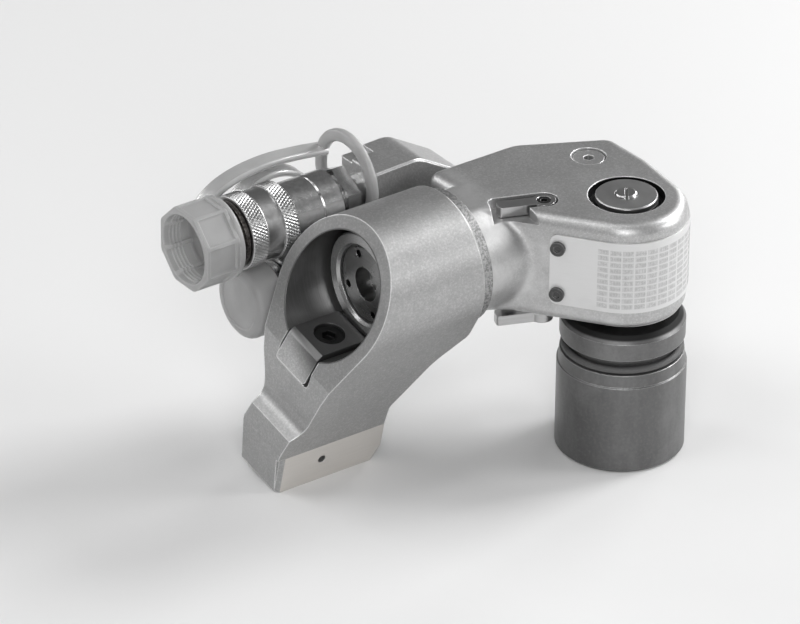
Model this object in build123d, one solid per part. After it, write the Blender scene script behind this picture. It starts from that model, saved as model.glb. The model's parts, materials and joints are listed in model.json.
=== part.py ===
from build123d import *
import math
import os

# Hydraulic torque wrench with reaction arm, swivel manifold, two quick couplers and socket.
# Millimetres. Origin on the drive axis at the mouth of the socket, which stands on the floor.
# +Z runs up the drive axis, +X along the cylinder from the reaction arm towards the head.

os.makedirs("parts", exist_ok=True)

# Clearances
RUN = 0.05          # radial running clearance of a shaft in its hole
SLIDE = 0.15        # clearance of splines and squares that slide
GAP = 0.3           # seat gap between pieces of different bodies
SEAT = 0.02         # radial fit of pieces pressed or screwed together

# Head
HEAD_BOTTOM = 60.2
HEAD_THICK = 43.0
HEAD_TOP = HEAD_BOTTOM + HEAD_THICK
MID_Z = HEAD_BOTTOM + HEAD_THICK / 2
CRANK_LEN = 31.4                 # drive axis to cylinder axis
CYL_Y = CRANK_LEN
NOSE_X = -1.0
NOSE_Y = -0.7
WALL_DIR = math.radians(216.87)  # outward direction of the flat near wall
FAR_Y = CYL_Y + 25.0
SLOPE_DIR = math.radians(62.7)    # outward direction of the sloped far corner
SLOPE_REACH = 45.7                # from the drive axis to the sloped wall
WAIST_X = -43.6
EDGE_R = 4.5
NECK_BLEND = 4.0
NECK_R = 23.2
NECK_END_X = -55.2

# Drive
SQUARE = 19.05
SQUARE_LEN = 22.5
SHOULDER_LEN = 3.2
SHOULDER_R = 14.6
HUB_R = 13.2
BUSH_WALL = 0.9
TOP_HOLE_R = HUB_R + BUSH_WALL
HUB_RECESS = 1.6                 # hub face below the top of the head
RING_SINK = 4.0                  # depth of the dark ring round the retainer
SPLINE_R = 10.4
SPLINE_DEPTH = 1.1
SPLINE_TEETH = 12
RATCHET_R = 18.6
RATCHET_DEPTH = 2.0
RATCHET_TEETH = 20
RATCHET_THICK = 14.6
RATCHET_PHASE = 10.0
DISC_R = 11.45
DISC_THICK = 2.1
SPIGOT_R = 7.4
SPIGOT_LEN = 3.0
SPIGOT_BORE = 5.2
BUTTON_R = 4.2
BUTTON_RISE = 1.0
SLOT_DIR = 54.0
STEM_R = 2.0
STEM_LEN = 13.0
SPRING_ROOM = 6.0

# Crank and rod
STROKE_HALF_ANGLE = 12.0
PIN_X = -CRANK_LEN * math.tan(math.radians(STROKE_HALF_ANGLE))
PIN_REACH = CRANK_LEN / math.cos(math.radians(STROKE_HALF_ANGLE))
STROKE = -2 * PIN_X
PLATE_GAP = 0.4
PLATE_THICK = 6.4
PIN_R = 5.0
PIN_BOSS_R = 9.0
PLATE_R = RATCHET_R - 0.2
PAWL_ANGLE = 75.0
PAWL_PIN_R = 2.5
PAWL_BOSS_R = 4.0
PAWL_DIST = RATCHET_R + PAWL_BOSS_R + 0.4
PAWL_SPRING_ROOM = 2.6
ROD_R = 7.5
TONGUE_HALF = 8.0
TONGUE_LEN = 14.5
CAVITY_R = RATCHET_R + 1.6
NOSE_R = CAVITY_R + 2.8
NOSE_SIDE_X = CAVITY_R + 4.0     # far end of the drive side wall
SLOPE_X = NOSE_SIDE_X - 0.8
CAVITY_SPARE = 0.6
CAVITY_HALF = RATCHET_THICK / 2 + PLATE_GAP + PLATE_THICK + CAVITY_SPARE
CAVITY_TOP = MID_Z + CAVITY_HALF
CAVITY_FLOOR = MID_Z - CAVITY_HALF
COVER_LEDGE = 0.9
COVER_SCREW_R = 1.6

# Cylinder
BARREL_R = 20.0
BORE_R = 14.6
THREAD_R = 19.5
BARREL_FRONT = -95.2
BARREL_BACK = -44.5
CAP_R = 15.0
CAP_THICK = 9.6
CAP_RECESS = 1.6
CAP_HOLE_R = 6.5
CAP_HOLE_DEPTH = 6.5
PIN_HOLE_R = 1.5
PIN_HOLE_CIRCLE = 11.6
PIN_HOLE_TURN = 67.0
CAP_GROOVE_R = 14.1
CAP_FRONT = BARREL_FRONT + CAP_RECESS
CAP_BACK = CAP_FRONT + CAP_THICK
PISTON_THICK = 10.0
PISTON_X = CAP_BACK + 0.4
PISTON_HEAD_X = PISTON_X + PISTON_THICK
GLAND_THICK = 9.0
GLAND_X = PISTON_HEAD_X + STROKE + 1.0
GLAND_BACK = GLAND_X + GLAND_THICK
SEAL_LEN = 3.0
SEAL_DEPTH = 1.9
COLLAR_R = 24.3
COLLAR_ROOT = 22.3
COLLAR_TEETH = 44
COLLAR_SHARE = 0.45
COLLAR_LEN = 16.8
SHOULDER_RING_R = 25.2           # plain ring behind the sleeve, covers the ends of the teeth
RIM_LEN = 1.1
GROOVE_LEN = 3.0
GROOVE_DEPTH = 1.3

# Reaction arm, in a frame on the cylinder axis that leans with the arm
SLEEVE_R = 27.6
SLEEVE_BORE = 22.5
SLEEVE_BACK = -59.3
SLEEVE_BEVEL = 1.3
TOE_BEVEL = 1.6
FACE_X = -108.4                  # slanted front face where it meets the cylinder axis
FACE_SLANT = math.tan(math.radians(24.6))
ARM_LEAN = 13.0
FOOT_FACE = -9.2
FOOT_DROP = ((MID_Z + FOOT_FACE * math.sin(math.radians(ARM_LEAN)))
             / math.cos(math.radians(ARM_LEAN)))
FOOT_BACK_FACE = 13.6
PAD_HIGH = 16.5
FOOT_FRONT_X = -128.4
FOOT_TOE_X = -126.1
FOOT_REAR_X = -80.5
LEG_FRONT_X = -121.3
CREASE_X = -127.6
CREASE_DROP = 52.6
SHIN_TOP = (LEG_FRONT_X, -33.0)  # corners (x, height) of the leg's outline, each with a round
INSTEP = (LEG_FRONT_X - 0.6, -49.2)
HEEL = (FOOT_REAR_X, -65.0)
ANKLE = (FOOT_REAR_X - 2.1, -53.4)
CALF = (FOOT_REAR_X + 8.6, -30.0)
FOOT_HOLE_X = -107.4
FOOT_HOLE_DROP = 72.0
FOOT_HOLE_R = 1.6
FOOT_HOLE_DEPTH = 9.0

# Latch
LATCH_WIDTH = 18.0
LATCH_TOP = -18.6
LATCH_BOTTOM = -30.4
LATCH_BACK = -88.0
LATCH_ROOM = 1.7
LATCH_SIDE = 0.8
LATCH_BEVEL = 2.0
LATCH_SCREW_X = -106.5
LATCH_HEAD_R = 5.6
LATCH_HEAD_LEN = 3.7
LATCH_HEAD_SINK = 1.0
LATCH_STUD_R = 2.5
LATCH_STUD_LEN = 24.0
LATCH_SPRING_R = 3.5
LATCH_SPRING_ROOM = 8.0
HOOK_LEN = 1.1

# Release levers
LEVER_X = -26.5
LEVER_Y = 14.5
LEVER_DIR = 159.0
LEVER_LEN = 17.5
LEVER_WIDTH = 5.2
LEVER_THICK = 3.9
LEVER_HUB_R = 4.3
SHAFT_R = 3.0
LEVER_SCREW_R = 2.7
POCKET_DEPTH = 4.3
POCKET_SIDE = 0.9
POCKET_END = 3.0
POCKET_CORNER = 3.5
LOWER_LEVER_DROP = 2.2

# Data plate and plug
PLATE_WALL = 0.7
PLATE_LOW = 67.9
PLATE_HIGH = 96.5
PLATE_RUN = 21.4                 # flat part of the plate, from the start of the nose
PLATE_CORNER = 3.0
PLATE_SCREW_RUN = 18.3
PLATE_SCREW_HALF = 9.45
PLATE_SCREW_R = 2.8
PLUG_R = 6.5
PLUG_LEN = 4.6
PLUG_HEX = 3.6

# Swivel manifold and couplers
SWIVEL_X = -37.0
SWIVEL_Z = 80.0
SWIVEL_BOSS_R = 16.5
POST_R = 8.0
POST_SCREW_R = 7.0
POST_SCREW_LEN = 8.0
POST_FLANGE_R = 10.5
BLOCK_STAND = 6.4                # room for the flange of the post
BLOCK_NEAR = FAR_Y + BLOCK_STAND
BLOCK_DEPTH = 21.6
BLOCK_FAR = BLOCK_NEAR + BLOCK_DEPTH
BLOCK_TOP = 104.8
BLOCK_BOTTOM = 49.5
BLOCK_BEND_X = -50.0
BLOCK_BEND_R = 12.0
PORT_FACE_X = -67.0
PORT_Y = BLOCK_NEAR + BLOCK_DEPTH / 2
PORT_A_Z = 92.8
PORT_PITCH = 30.0
PORT_B_Z = PORT_A_Z - PORT_PITCH
PIPE_R = 6.5
PIPE_LEN = 10.0
OIL_R = 2.0
RING_THICK = 3.0
RING_X = PORT_FACE_X - GAP - RING_THICK
HEX_FLATS = 22.0
HEX_STAND = 3.3                  # bare pipe behind the hexagon
HEX_BACK = RING_X - HEX_STAND
HEX_LEN = 5.4
HEX_FRONT = HEX_BACK - HEX_LEN
COUPLER_GAP = 1.4
COUPLER_BACK = HEX_FRONT - COUPLER_GAP
COUPLER_R = 12.2
TAIL_LEN = 21.4
TAIL_GROOVE = 8.8                # from the back end of the coupler
CORE_R = 9.6
KNURL_R = 14.2
KNURL_LEN = 6.4
BAND_LEN = 6.9
WAIST_LEN = 7.3
WAIST_R = 13.4
COLLAR_GAP = 0.4
NOSE_LEN = 3.9
NOSE_OUT_R = 12.6
MOUTH_R = 5.0
MOUTH_DEPTH = 10.0
MALE_TAIL_LEN = 9.1
MALE_COLLAR_LEN = 13.0
MALE_NOSE_LEN = 5.0
CAP_FLATS = 30.0
CAP_BORE_R = 13.0
CAP_BORE_DEPTH = 11.5
GRIP_LEN = 14.5
FLANGE_R = 15.1
FLANGE_LEN = 2.2
PLUG_PIN_R = 4.7
PLUG_PIN_LEN = 6.0
CAP_RIBS = 8
RIB_THICK = 0.9
RIB_HIGH = 2.6
ROUND_CAP_R = 14.2
ROUND_CAP_LEN = 11.6
STRAP_R = 18.5
STRAP_HOLE_R = 13.8
RING_A = (78.1, 97.0)            # centres (y, z) of the two rings, clear of the sleeve
RING_B = (79.5, 59.0)
STRAP_WIDTH = 8.0
STRAP_THICK = 2.6

# Socket
SOCKET_R = 24.0
SOCKET_HEX = 32.0
SOCKET_HEX_DEPTH = 24.0
SOCKET_MOUTH_R = 19.2
SOCKET_MOUTH_DEPTH = 2.0
SOCKET_BODY = 35.4
SOCKET_SHOULDER = 40.5
SOCKET_SHOULDER_R = 23.0
SOCKET_GROOVE_TOP = 46.8
SOCKET_COLLAR = 53.6
SOCKET_TOP = 56.5
SOCKET_COLLAR_R = 23.2
SOCKET_TOP_R = 20.8
SOCKET_GROOVE_R = 20.2
SOCKET_SQUARE_DEPTH = 24.0
SOCKET_BORE_R = 8.0
RUBBER_R = 1.25


def cyl_z(radius, z0, z1, x=0.0, y=0.0):
    return Pos(x, y, (z0 + z1) / 2) * Cylinder(radius, z1 - z0)


def cyl_x(radius, x0, x1, y=0.0, z=0.0):
    return Pos((x0 + x1) / 2, y, z) * Rot(0, 90, 0) * Cylinder(radius, x1 - x0)


def cyl_y(radius, y0, y1, x=0.0, z=0.0):
    return Pos(x, (y0 + y1) / 2, z) * Rot(90, 0, 0) * Cylinder(radius, y1 - y0)


def block(x0, x1, y0, y1, z0, z1):
    return Pos((x0 + x1) / 2, (y0 + y1) / 2, (z0 + z1) / 2) * Box(x1 - x0, y1 - y0, z1 - z0)


def prism_z(points, z0, z1):
    face = make_face(Polyline(*points, close=True))
    return extrude(Pos(0, 0, z0) * face, z1 - z0, dir=(0, 0, 1))


def prism_x(points, x0, x1):
    """Closed outline of (y, z) points run along X."""
    wire = Polyline(*[(x0, y, z) for y, z in points], close=True)
    return extrude(make_face(wire), x1 - x0, dir=(1, 0, 0))


def prism_y(points, y0, y1):
    """Closed outline of (x, z) points run along Y."""
    wire = Polyline(*[(x, y0, z) for x, z in points], close=True)
    return extrude(make_face(wire), y1 - y0, dir=(0, 1, 0))


def turned_x(profile, y=0.0, z=0.0):
    """Ring turned about the X direction from a closed outline of (x, radius) points."""
    face = make_face(Polyline(*profile, close=True))
    return Pos(0, y, z) * revolve(face, Axis.X, 360)


def turned_z(profile, x=0.0, y=0.0):
    """Ring turned about the Z direction from a closed outline of (radius, z) points."""
    face = make_face(Polyline(*[(r, 0, z) for r, z in profile], close=True))
    return Pos(x, y, 0) * revolve(face, Axis.Z, 360)


def hex_x(flats, x0, x1, y, z):
    face = make_face(RegularPolygon(flats / math.sqrt(3), 6).edges())
    return Pos(x0, y, z) * Rot(0, 90, 0) * extrude(face, x1 - x0)


def hex_z(flats, z0, z1, x=0.0, y=0.0):
    face = make_face(RegularPolygon(flats / math.sqrt(3), 6).edges())
    return Pos(x, y, z0) * extrude(face, z1 - z0)


def polar(radius, angle):
    return (radius * math.cos(math.radians(angle)), radius * math.sin(math.radians(angle)))


def spline_points(tip, root, teeth, share):
    """Outline of straight-sided teeth, each taking the given share of its pitch."""
    points = []
    pitch = 360.0 / teeth
    for i in range(teeth):
        mid = i * pitch
        half = pitch * share / 2
        points.append(polar(root, mid - pitch / 2))
        points.append(polar(root, mid - half * 1.25))
        points.append(polar(tip, mid - half * 0.75))
        points.append(polar(tip, mid + half * 0.75))
        points.append(polar(root, mid + half * 1.25))
    return points


def save(name, shape):
    export_step(shape, "parts/" + name + ".step")


def put(name, *shapes):
    """Write one node, as one solid or as a group of separate solids."""
    if len(shapes) == 1:
        save(name, shapes[0])
    else:
        save(name, Compound(children=list(shapes)))


# Head housing

def corner(x, y, radius):
    return Pos(x, y) * CenterArc((0, 0), radius, 0, 360)


def head_outline():
    """Plan of the head: a taut line round the drive end and five corner circles."""
    cos_w = math.cos(WALL_DIR)
    sin_w = math.sin(WALL_DIR)
    near_reach = NOSE_X * cos_w + NOSE_Y * sin_w + NOSE_R
    side_r = 10.0
    slope_r = 6.5
    far_r = 14.0
    end_r = 4.5
    waist_r = 3.0
    slope_x = SLOPE_X - slope_r
    slope_y = (SLOPE_REACH - slope_r - slope_x * math.cos(SLOPE_DIR)) / math.sin(SLOPE_DIR)
    far_y = FAR_Y - far_r
    far_x = (SLOPE_REACH - far_r - far_y * math.sin(SLOPE_DIR)) / math.cos(SLOPE_DIR)
    waist_y = (near_reach - waist_r - WAIST_X * cos_w) / sin_w
    outline = [
        corner(NOSE_X, NOSE_Y, NOSE_R), corner(NOSE_SIDE_X - side_r, 17.5, side_r),
        corner(slope_x, slope_y, slope_r), corner(far_x, far_y, far_r),
        corner(WAIST_X - 0.9, FAR_Y - end_r, end_r), corner(WAIST_X, waist_y, waist_r)]
    return make_face(make_hull(outline))


def taut(circles, z0, z1):
    """Prism whose outline is a taut line round (x, y, radius) circles."""
    face = make_face(make_hull([corner(x, y, r) for x, y, r in circles]))
    return extrude(Pos(0, 0, z0) * face, z1 - z0, dir=(0, 0, 1))


def near_wall_point(run, out):
    """Point on the flat near wall, run back from the drive end and out from the wall."""
    cos_w = math.cos(WALL_DIR)
    sin_w = math.sin(WALL_DIR)
    reach = NOSE_R + out
    return (NOSE_X + reach * cos_w + run * sin_w, NOSE_Y + reach * sin_w - run * cos_w)


def cavity(z0, z1, grow=0.0):
    """Room for the ratchet, the crank plates, the pawls and the tongue of the rod."""
    shape = cyl_z(CAVITY_R + grow, z0, z1)
    cos_w = math.cos(WALL_DIR)
    sin_w = math.sin(WALL_DIR)
    reach = CAVITY_R + grow
    start = (reach * cos_w, reach * sin_w)
    side = (start[0] + 24 * sin_w, start[1] - 24 * cos_w)
    shape += prism_z([
        start, (8, 0), (CAVITY_R + grow, 0), (CAVITY_R + grow, 22), (CAVITY_R - 2.4 + grow, 30),
        (CAVITY_R - 2.4 + grow, 36 + grow), (12 + grow, 41.4 + grow), (-33 - grow, 41.4 + grow),
        (-33 - grow, 9.0), side], z0, z1)
    return shape


COVER_EARS = [(-36.5, 21.0), (-36.0, 41.5), (-18.0, 45.0), (-2.0, 44.2)]


def cover_shape(z0, z1, grow):
    shape = cavity(z0, z1, COVER_LEDGE + grow)
    for x, y in COVER_EARS:
        shape += cyl_z(4.2 + grow, z0, z1, x, y)
    return shape


def lever_pocket():
    """Pocket in the top face round the upper lever, open towards the near wall."""
    floor = HEAD_TOP - POCKET_DEPTH
    reach = LEVER_HUB_R + POCKET_SIDE
    shape = cyl_z(reach, floor, HEAD_TOP + 1)
    slot = block(0, LEVER_LEN + POCKET_END, -reach, 20, floor, HEAD_TOP + 1)
    shape += fillet(slot.edges().filter_by(Axis.Z).sort_by(Axis.Y)[:2].sort_by(Axis.X)[-1], POCKET_CORNER)
    lip = reach - 0.5
    shape -= prism_z([(-9, lip), (LEVER_LEN / 2 - 2, lip), (0, 26), (-9, 26)], floor - 1, HEAD_TOP + 2)
    shape += cyl_z(reach, floor, HEAD_TOP + 1)
    return Pos(LEVER_X, LEVER_Y, 0) * Rot(0, 0, LEVER_DIR) * shape


def head_block():
    """Solid block of the head and its neck, blended into each other, with round rims."""
    body = extrude(Pos(0, 0, HEAD_BOTTOM) * head_outline(), HEAD_THICK, dir=(0, 0, 1))
    slab = block(NECK_END_X - 5, 40, -40, 80, HEAD_BOTTOM, HEAD_TOP)
    body += cyl_x(NECK_R, NECK_END_X, BARREL_BACK + 11, CYL_Y, MID_Z) & slab
    seam = body.edges().filter_by(GeomType.ELLIPSE).sort_by(Edge.length)[-1]
    body = fillet(seam, NECK_BLEND)
    rim = body.edges().filter_by_position(Axis.Z, HEAD_TOP - 0.01, HEAD_TOP + 0.01)
    rim += body.edges().filter_by_position(Axis.Z, HEAD_BOTTOM - 0.01, HEAD_BOTTOM + 0.01)
    rim -= rim.filter_by_position(Axis.X, NECK_END_X - 0.1, NECK_END_X + 0.1)
    return fillet(rim, EDGE_R)


def wall_drill(run, z, radius, depth):
    """Hole into the near wall, square to it."""
    x, y = near_wall_point(run, -depth / 2 + 1)
    turn = math.degrees(WALL_DIR)
    return Pos(x, y, z) * Rot(0, 0, turn) * Rot(0, 90, 0) * Cylinder(radius, depth + 2)


def head_housing():
    body = head_block()
    body -= cavity(CAVITY_FLOOR - 0.01, CAVITY_TOP)
    body -= cover_shape(HEAD_BOTTOM - 1, CAVITY_FLOOR, 0.0)
    body -= cyl_x(THREAD_R + SEAT, NECK_END_X - 1, BARREL_BACK + GAP, CYL_Y, MID_Z)
    body -= cyl_x(ROD_R + 2, BARREL_BACK - 1, -32, CYL_Y, MID_Z)
    body -= cyl_z(TOP_HOLE_R + SEAT, CAVITY_TOP - 1, HEAD_TOP + 1)
    body -= lever_pocket()
    body -= cyl_z(SHAFT_R + RUN, CAVITY_TOP - 1, HEAD_TOP, LEVER_X, LEVER_Y)
    body -= cyl_z(PLUG_R, HEAD_TOP - PLUG_LEN, HEAD_TOP + 1, -PIN_X, CYL_Y)
    body -= cyl_z(PIN_R + GAP, CAVITY_TOP - 1, HEAD_TOP, -PIN_X, CYL_Y)
    body -= cyl_y(POST_SCREW_R, FAR_Y - POST_SCREW_LEN - GAP, FAR_Y + 1, SWIVEL_X, SWIVEL_Z)
    for x, y in COVER_EARS:
        body -= cyl_z(COVER_SCREW_R, CAVITY_FLOOR - 1, CAVITY_FLOOR + 8, x, y)
    for side in (-1, 1):
        body -= wall_drill(PLATE_SCREW_RUN, MID_Z + side * PLATE_SCREW_HALF, 1.3, 3.0)
    return body


def bottom_cover():
    body = cover_shape(HEAD_BOTTOM, CAVITY_FLOOR, -SEAT)
    body -= cyl_z(TOP_HOLE_R + SEAT, HEAD_BOTTOM - 1, CAVITY_FLOOR + 1)
    body -= cyl_z(SHAFT_R + RUN, HEAD_BOTTOM - 1, CAVITY_FLOOR + 1, LEVER_X, LEVER_Y)
    for x, y in COVER_EARS:
        body -= cyl_z(COVER_SCREW_R + SEAT, HEAD_BOTTOM - 1, CAVITY_FLOOR + 1, x, y)
        body -= cyl_z(3.0 + SEAT, HEAD_BOTTOM - 1, HEAD_BOTTOM + 3, x, y)
    return body


def cover_screws():
    screws = []
    for x, y in COVER_EARS:
        screw = cyl_z(3.0, HEAD_BOTTOM + 0.2, HEAD_BOTTOM + 3, x, y)
        screw += cyl_z(COVER_SCREW_R - SEAT, HEAD_BOTTOM + 2, CAVITY_FLOOR + 7, x, y)
        screws.append(screw - hex_z(2.5, HEAD_BOTTOM - 1, HEAD_BOTTOM + 2, x, y))
    return screws


def ring_z(outer, inner, z0, z1):
    return cyl_z(outer, z0, z1) - cyl_z(inner, z0 - 1, z1 + 1)


def ring_x(outer, inner, x0, x1, y=0.0, z=0.0):
    return cyl_x(outer, x0, x1, y, z) - cyl_x(inner, x0 - 1, x1 + 1, y, z)


def data_plate():
    """Thin plate bent round the drive end."""
    arc_end = -14.0
    outer = NOSE_R + PLATE_WALL
    inner = NOSE_R + SEAT
    wall_deg = math.degrees(WALL_DIR) - 360
    mid = (wall_deg + arc_end) / 2

    def on_nose(radius, angle):
        x, y = polar(radius, angle)
        return (NOSE_X + x, NOSE_Y + y)

    rim = Line(near_wall_point(PLATE_RUN, PLATE_WALL), on_nose(outer, wall_deg)).edges()
    rim += ThreePointArc(on_nose(outer, wall_deg), on_nose(outer, mid), on_nose(outer, arc_end)).edges()
    rim += Line(on_nose(outer, arc_end), on_nose(inner, arc_end)).edges()
    rim += ThreePointArc(on_nose(inner, arc_end), on_nose(inner, mid), on_nose(inner, wall_deg)).edges()
    rim += Line(on_nose(inner, wall_deg), near_wall_point(PLATE_RUN, SEAT)).edges()
    rim += Line(near_wall_point(PLATE_RUN, SEAT), near_wall_point(PLATE_RUN, PLATE_WALL)).edges()
    body = extrude(Pos(0, 0, PLATE_LOW) * make_face(rim), PLATE_HIGH - PLATE_LOW, dir=(0, 0, 1))
    mid_z = (PLATE_LOW + PLATE_HIGH) / 2
    corner_x, corner_y = near_wall_point(PLATE_RUN - PLATE_CORNER, 0)
    to_wall = Rot(0, 0, math.degrees(WALL_DIR)) * Rot(0, 90, 0)
    for side in (-1, 1):
        z = mid_z + side * ((PLATE_HIGH - PLATE_LOW) / 2 - PLATE_CORNER)
        half = PLATE_CORNER / 2 + 0.5
        waste = Pos(-side * half, -half, 0) * Box(2 * half, 2 * half, 6)
        waste -= Cylinder(PLATE_CORNER, 8)
        body -= Pos(corner_x, corner_y, z) * to_wall * waste
        body -= wall_drill(PLATE_SCREW_RUN, MID_Z + side * PLATE_SCREW_HALF, 1.35, 3.0)
    return body


def plate_screws():
    screws = []
    turn = Rot(0, 0, math.degrees(WALL_DIR)) * Rot(0, 90, 0)
    for side in (-1, 1):
        z = MID_Z + side * PLATE_SCREW_HALF
        x, y = near_wall_point(PLATE_SCREW_RUN, PLATE_WALL + SEAT)
        screw = Pos(0, 0, 0.6) * Cylinder(PLATE_SCREW_R, 1.2)
        screw -= Pos(0, 0, 0.4) * extrude(make_face(RegularPolygon(1.5, 6).edges()), 1)
        screw += Pos(0, 0, -1.4) * Cylinder(1.25, 2.8)
        screws.append(Pos(x, y, z) * turn * screw)
    return screws


def pin_plug():
    body = cyl_z(PLUG_R - SEAT, HEAD_TOP - PLUG_LEN + SEAT, HEAD_TOP - 0.6, -PIN_X, CYL_Y)
    body = chamfer(body.faces().sort_by(Axis.Z)[-1].edges(), 0.8)
    return body - hex_z(PLUG_HEX, HEAD_TOP - 3.5, HEAD_TOP, -PIN_X, CYL_Y)


# Cylinder, piston and rod

def arm_frame(shape):
    """From the leaning frame on the cylinder axis to the frame of the tool."""
    return Pos(0, CYL_Y, MID_Z) * Rot(ARM_LEAN, 0, 0) * shape


def cylinder_barrel():
    rim_back = BARREL_FRONT + RIM_LEN
    groove_back = rim_back + GROOVE_LEN
    collar_front = NECK_END_X - COLLAR_LEN
    body = turned_x([
        (BARREL_FRONT + 1, CAP_R), (BARREL_FRONT, CAP_R + 1), (BARREL_FRONT, BARREL_R - 0.5),
        (BARREL_FRONT + 0.5, BARREL_R), (rim_back, BARREL_R), (rim_back, BARREL_R - GROOVE_DEPTH),
        (groove_back, BARREL_R - GROOVE_DEPTH), (groove_back, BARREL_R), (collar_front, BARREL_R),
        (collar_front, COLLAR_ROOT - 0.5), (NECK_END_X, COLLAR_ROOT - 0.5), (NECK_END_X, THREAD_R),
        (BARREL_BACK, THREAD_R), (BARREL_BACK, ROD_R + 2), (GLAND_BACK, ROD_R + 2),
        (GLAND_BACK, BORE_R), (CAP_BACK, BORE_R), (CAP_BACK, CAP_R)])
    teeth = spline_points(COLLAR_R, COLLAR_ROOT, COLLAR_TEETH, COLLAR_SHARE)
    ring = prism_x(teeth, collar_front, NECK_END_X) + cyl_x(SHOULDER_RING_R, SLEEVE_BACK + GAP, NECK_END_X)
    ring -= cyl_x(COLLAR_ROOT - 1, collar_front - 1, 0)
    return arm_frame(body + ring)


def on_axis(shape):
    return Pos(0, CYL_Y, MID_Z) * shape


def seal_groove(x, outer, inner):
    return ring_x(outer, inner, x, x + SEAL_LEN)


def cylinder_end_cap():
    body = cyl_x(CAP_R - SEAT, CAP_FRONT, CAP_BACK - SEAT)
    body -= cyl_x(CAP_HOLE_R, CAP_FRONT - 1, CAP_FRONT + CAP_HOLE_DEPTH)
    for i in range(4):
        y, z = polar(PIN_HOLE_CIRCLE, PIN_HOLE_TURN + 90 * i)
        body -= cyl_x(PIN_HOLE_R, CAP_FRONT - 1, CAP_FRONT + 4, y, z)
    body -= ring_x(CAP_R + 1, CAP_GROOVE_R, CAP_FRONT - 1, CAP_FRONT + 1.2)
    body -= seal_groove(CAP_BACK - 2 - SEAL_LEN, CAP_R + 1, CAP_R - SEAL_DEPTH)
    return on_axis(body)


def piston():
    body = cyl_x(BORE_R - RUN, PISTON_X, PISTON_HEAD_X)
    body -= seal_groove(PISTON_X + 3.5, BORE_R + 1, BORE_R - SEAL_DEPTH)
    body -= cyl_x(ROD_R - 2.5 + SEAT, PISTON_X + 3, PISTON_HEAD_X + 1)
    return on_axis(body)


def piston_rod():
    body = cyl_x(ROD_R - 2.5, PISTON_X + 4, PISTON_HEAD_X + 1)
    body += cyl_x(ROD_R, PISTON_HEAD_X + SEAT, PIN_X - TONGUE_LEN + 1)
    half = RATCHET_THICK / 2 - PLATE_GAP
    body += block(PIN_X - TONGUE_LEN, PIN_X, -TONGUE_HALF, TONGUE_HALF, -half, half)
    body += cyl_z(TONGUE_HALF, -half, half, PIN_X, 0)
    body -= cyl_z(PIN_R + SEAT, -half - 1, half + 1, PIN_X, 0)
    return on_axis(body)


def rod_gland():
    body = ring_x(BORE_R - SEAT, ROD_R + RUN, GLAND_X, GLAND_BACK - SEAT)
    body -= seal_groove(GLAND_X + 3, ROD_R + SEAL_DEPTH, ROD_R - 1)
    return on_axis(body)


# Crank, pawls and ratchet

def crank_plate(z0):
    pin_x, pin_y = polar(PIN_REACH, 90 + STROKE_HALF_ANGLE)
    slot_x, slot_y = polar(CRANK_LEN, 90 + STROKE_HALF_ANGLE)
    mid_x = (pin_x + slot_x) / 2
    mid_y = (pin_y + slot_y) / 2
    pawl_x, pawl_y = polar(PAWL_DIST, PAWL_ANGLE)
    z1 = z0 + PLATE_THICK
    body = taut([(0, 0, PLATE_R), (mid_x, mid_y, PIN_BOSS_R), (pawl_x, pawl_y, PAWL_BOSS_R + 1)], z0, z1)
    body -= cyl_z(HUB_R + RUN, z0 - 1, z1 + 1)
    slot = PIN_R + SLIDE
    body -= taut([(pin_x, pin_y, slot), (slot_x, slot_y, slot)], z0 - 1, z1 + 1)
    body -= cyl_z(PAWL_PIN_R + SEAT, z0 - 1, z1 + 1, pawl_x, pawl_y)
    return body


PLATE_UP_Z = MID_Z + RATCHET_THICK / 2 + PLATE_GAP
PLATE_DOWN_Z = MID_Z - RATCHET_THICK / 2 - PLATE_GAP - PLATE_THICK
PAWL_LOW = MID_Z - RATCHET_THICK / 2 + PLATE_GAP
PAWL_HIGH = MID_Z + RATCHET_THICK / 2 - PLATE_GAP


def drive_pawl():
    """Pawl between the crank plates, its tip behind a steep tooth face."""
    pivot = polar(PAWL_DIST, PAWL_ANGLE)
    root = RATCHET_R - RATCHET_DEPTH
    outline = [
        polar(root + 0.4, 48.4), polar(RATCHET_R + 0.1, 47.3), polar(RATCHET_R + 1.0, 50.0),
        (pivot[0] + 2.94, pivot[1] + 2.71), pivot, polar(RATCHET_R + 0.7, 70.0),
        polar(RATCHET_R + 0.4, 64.5), polar(root + 1.5, 56.5)]
    top = PAWL_HIGH - PAWL_SPRING_ROOM
    body = prism_z(outline, PAWL_LOW, top) + cyl_z(PAWL_BOSS_R, PAWL_LOW, top, *pivot)
    return body - cyl_z(PAWL_PIN_R + RUN, PAWL_LOW - 1, top + 1, *pivot)


def coil(radius, wire, z0, z1, turns, x=0.0, y=0.0):
    """Round-wire coil spring along Z."""
    low = z0 + wire / 2
    high = z1 - wire / 2
    path = Helix((high - low) / turns, high - low, radius)
    start = Plane(origin=path @ 0, z_dir=path % 0)
    return Pos(x, y, low) * sweep(start * Circle(wire / 2), path=path)


def ratchet_outline():
    points = []
    pitch = 360.0 / RATCHET_TEETH
    for i in range(RATCHET_TEETH):
        angle = RATCHET_PHASE + i * pitch
        points.append(polar(RATCHET_R, angle))
        points.append(polar(RATCHET_R - RATCHET_DEPTH, angle + 0.8))
    return points


HUB_TOP = HEAD_TOP - HUB_RECESS
HUB_LOW = HEAD_BOTTOM + 0.4


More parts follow.
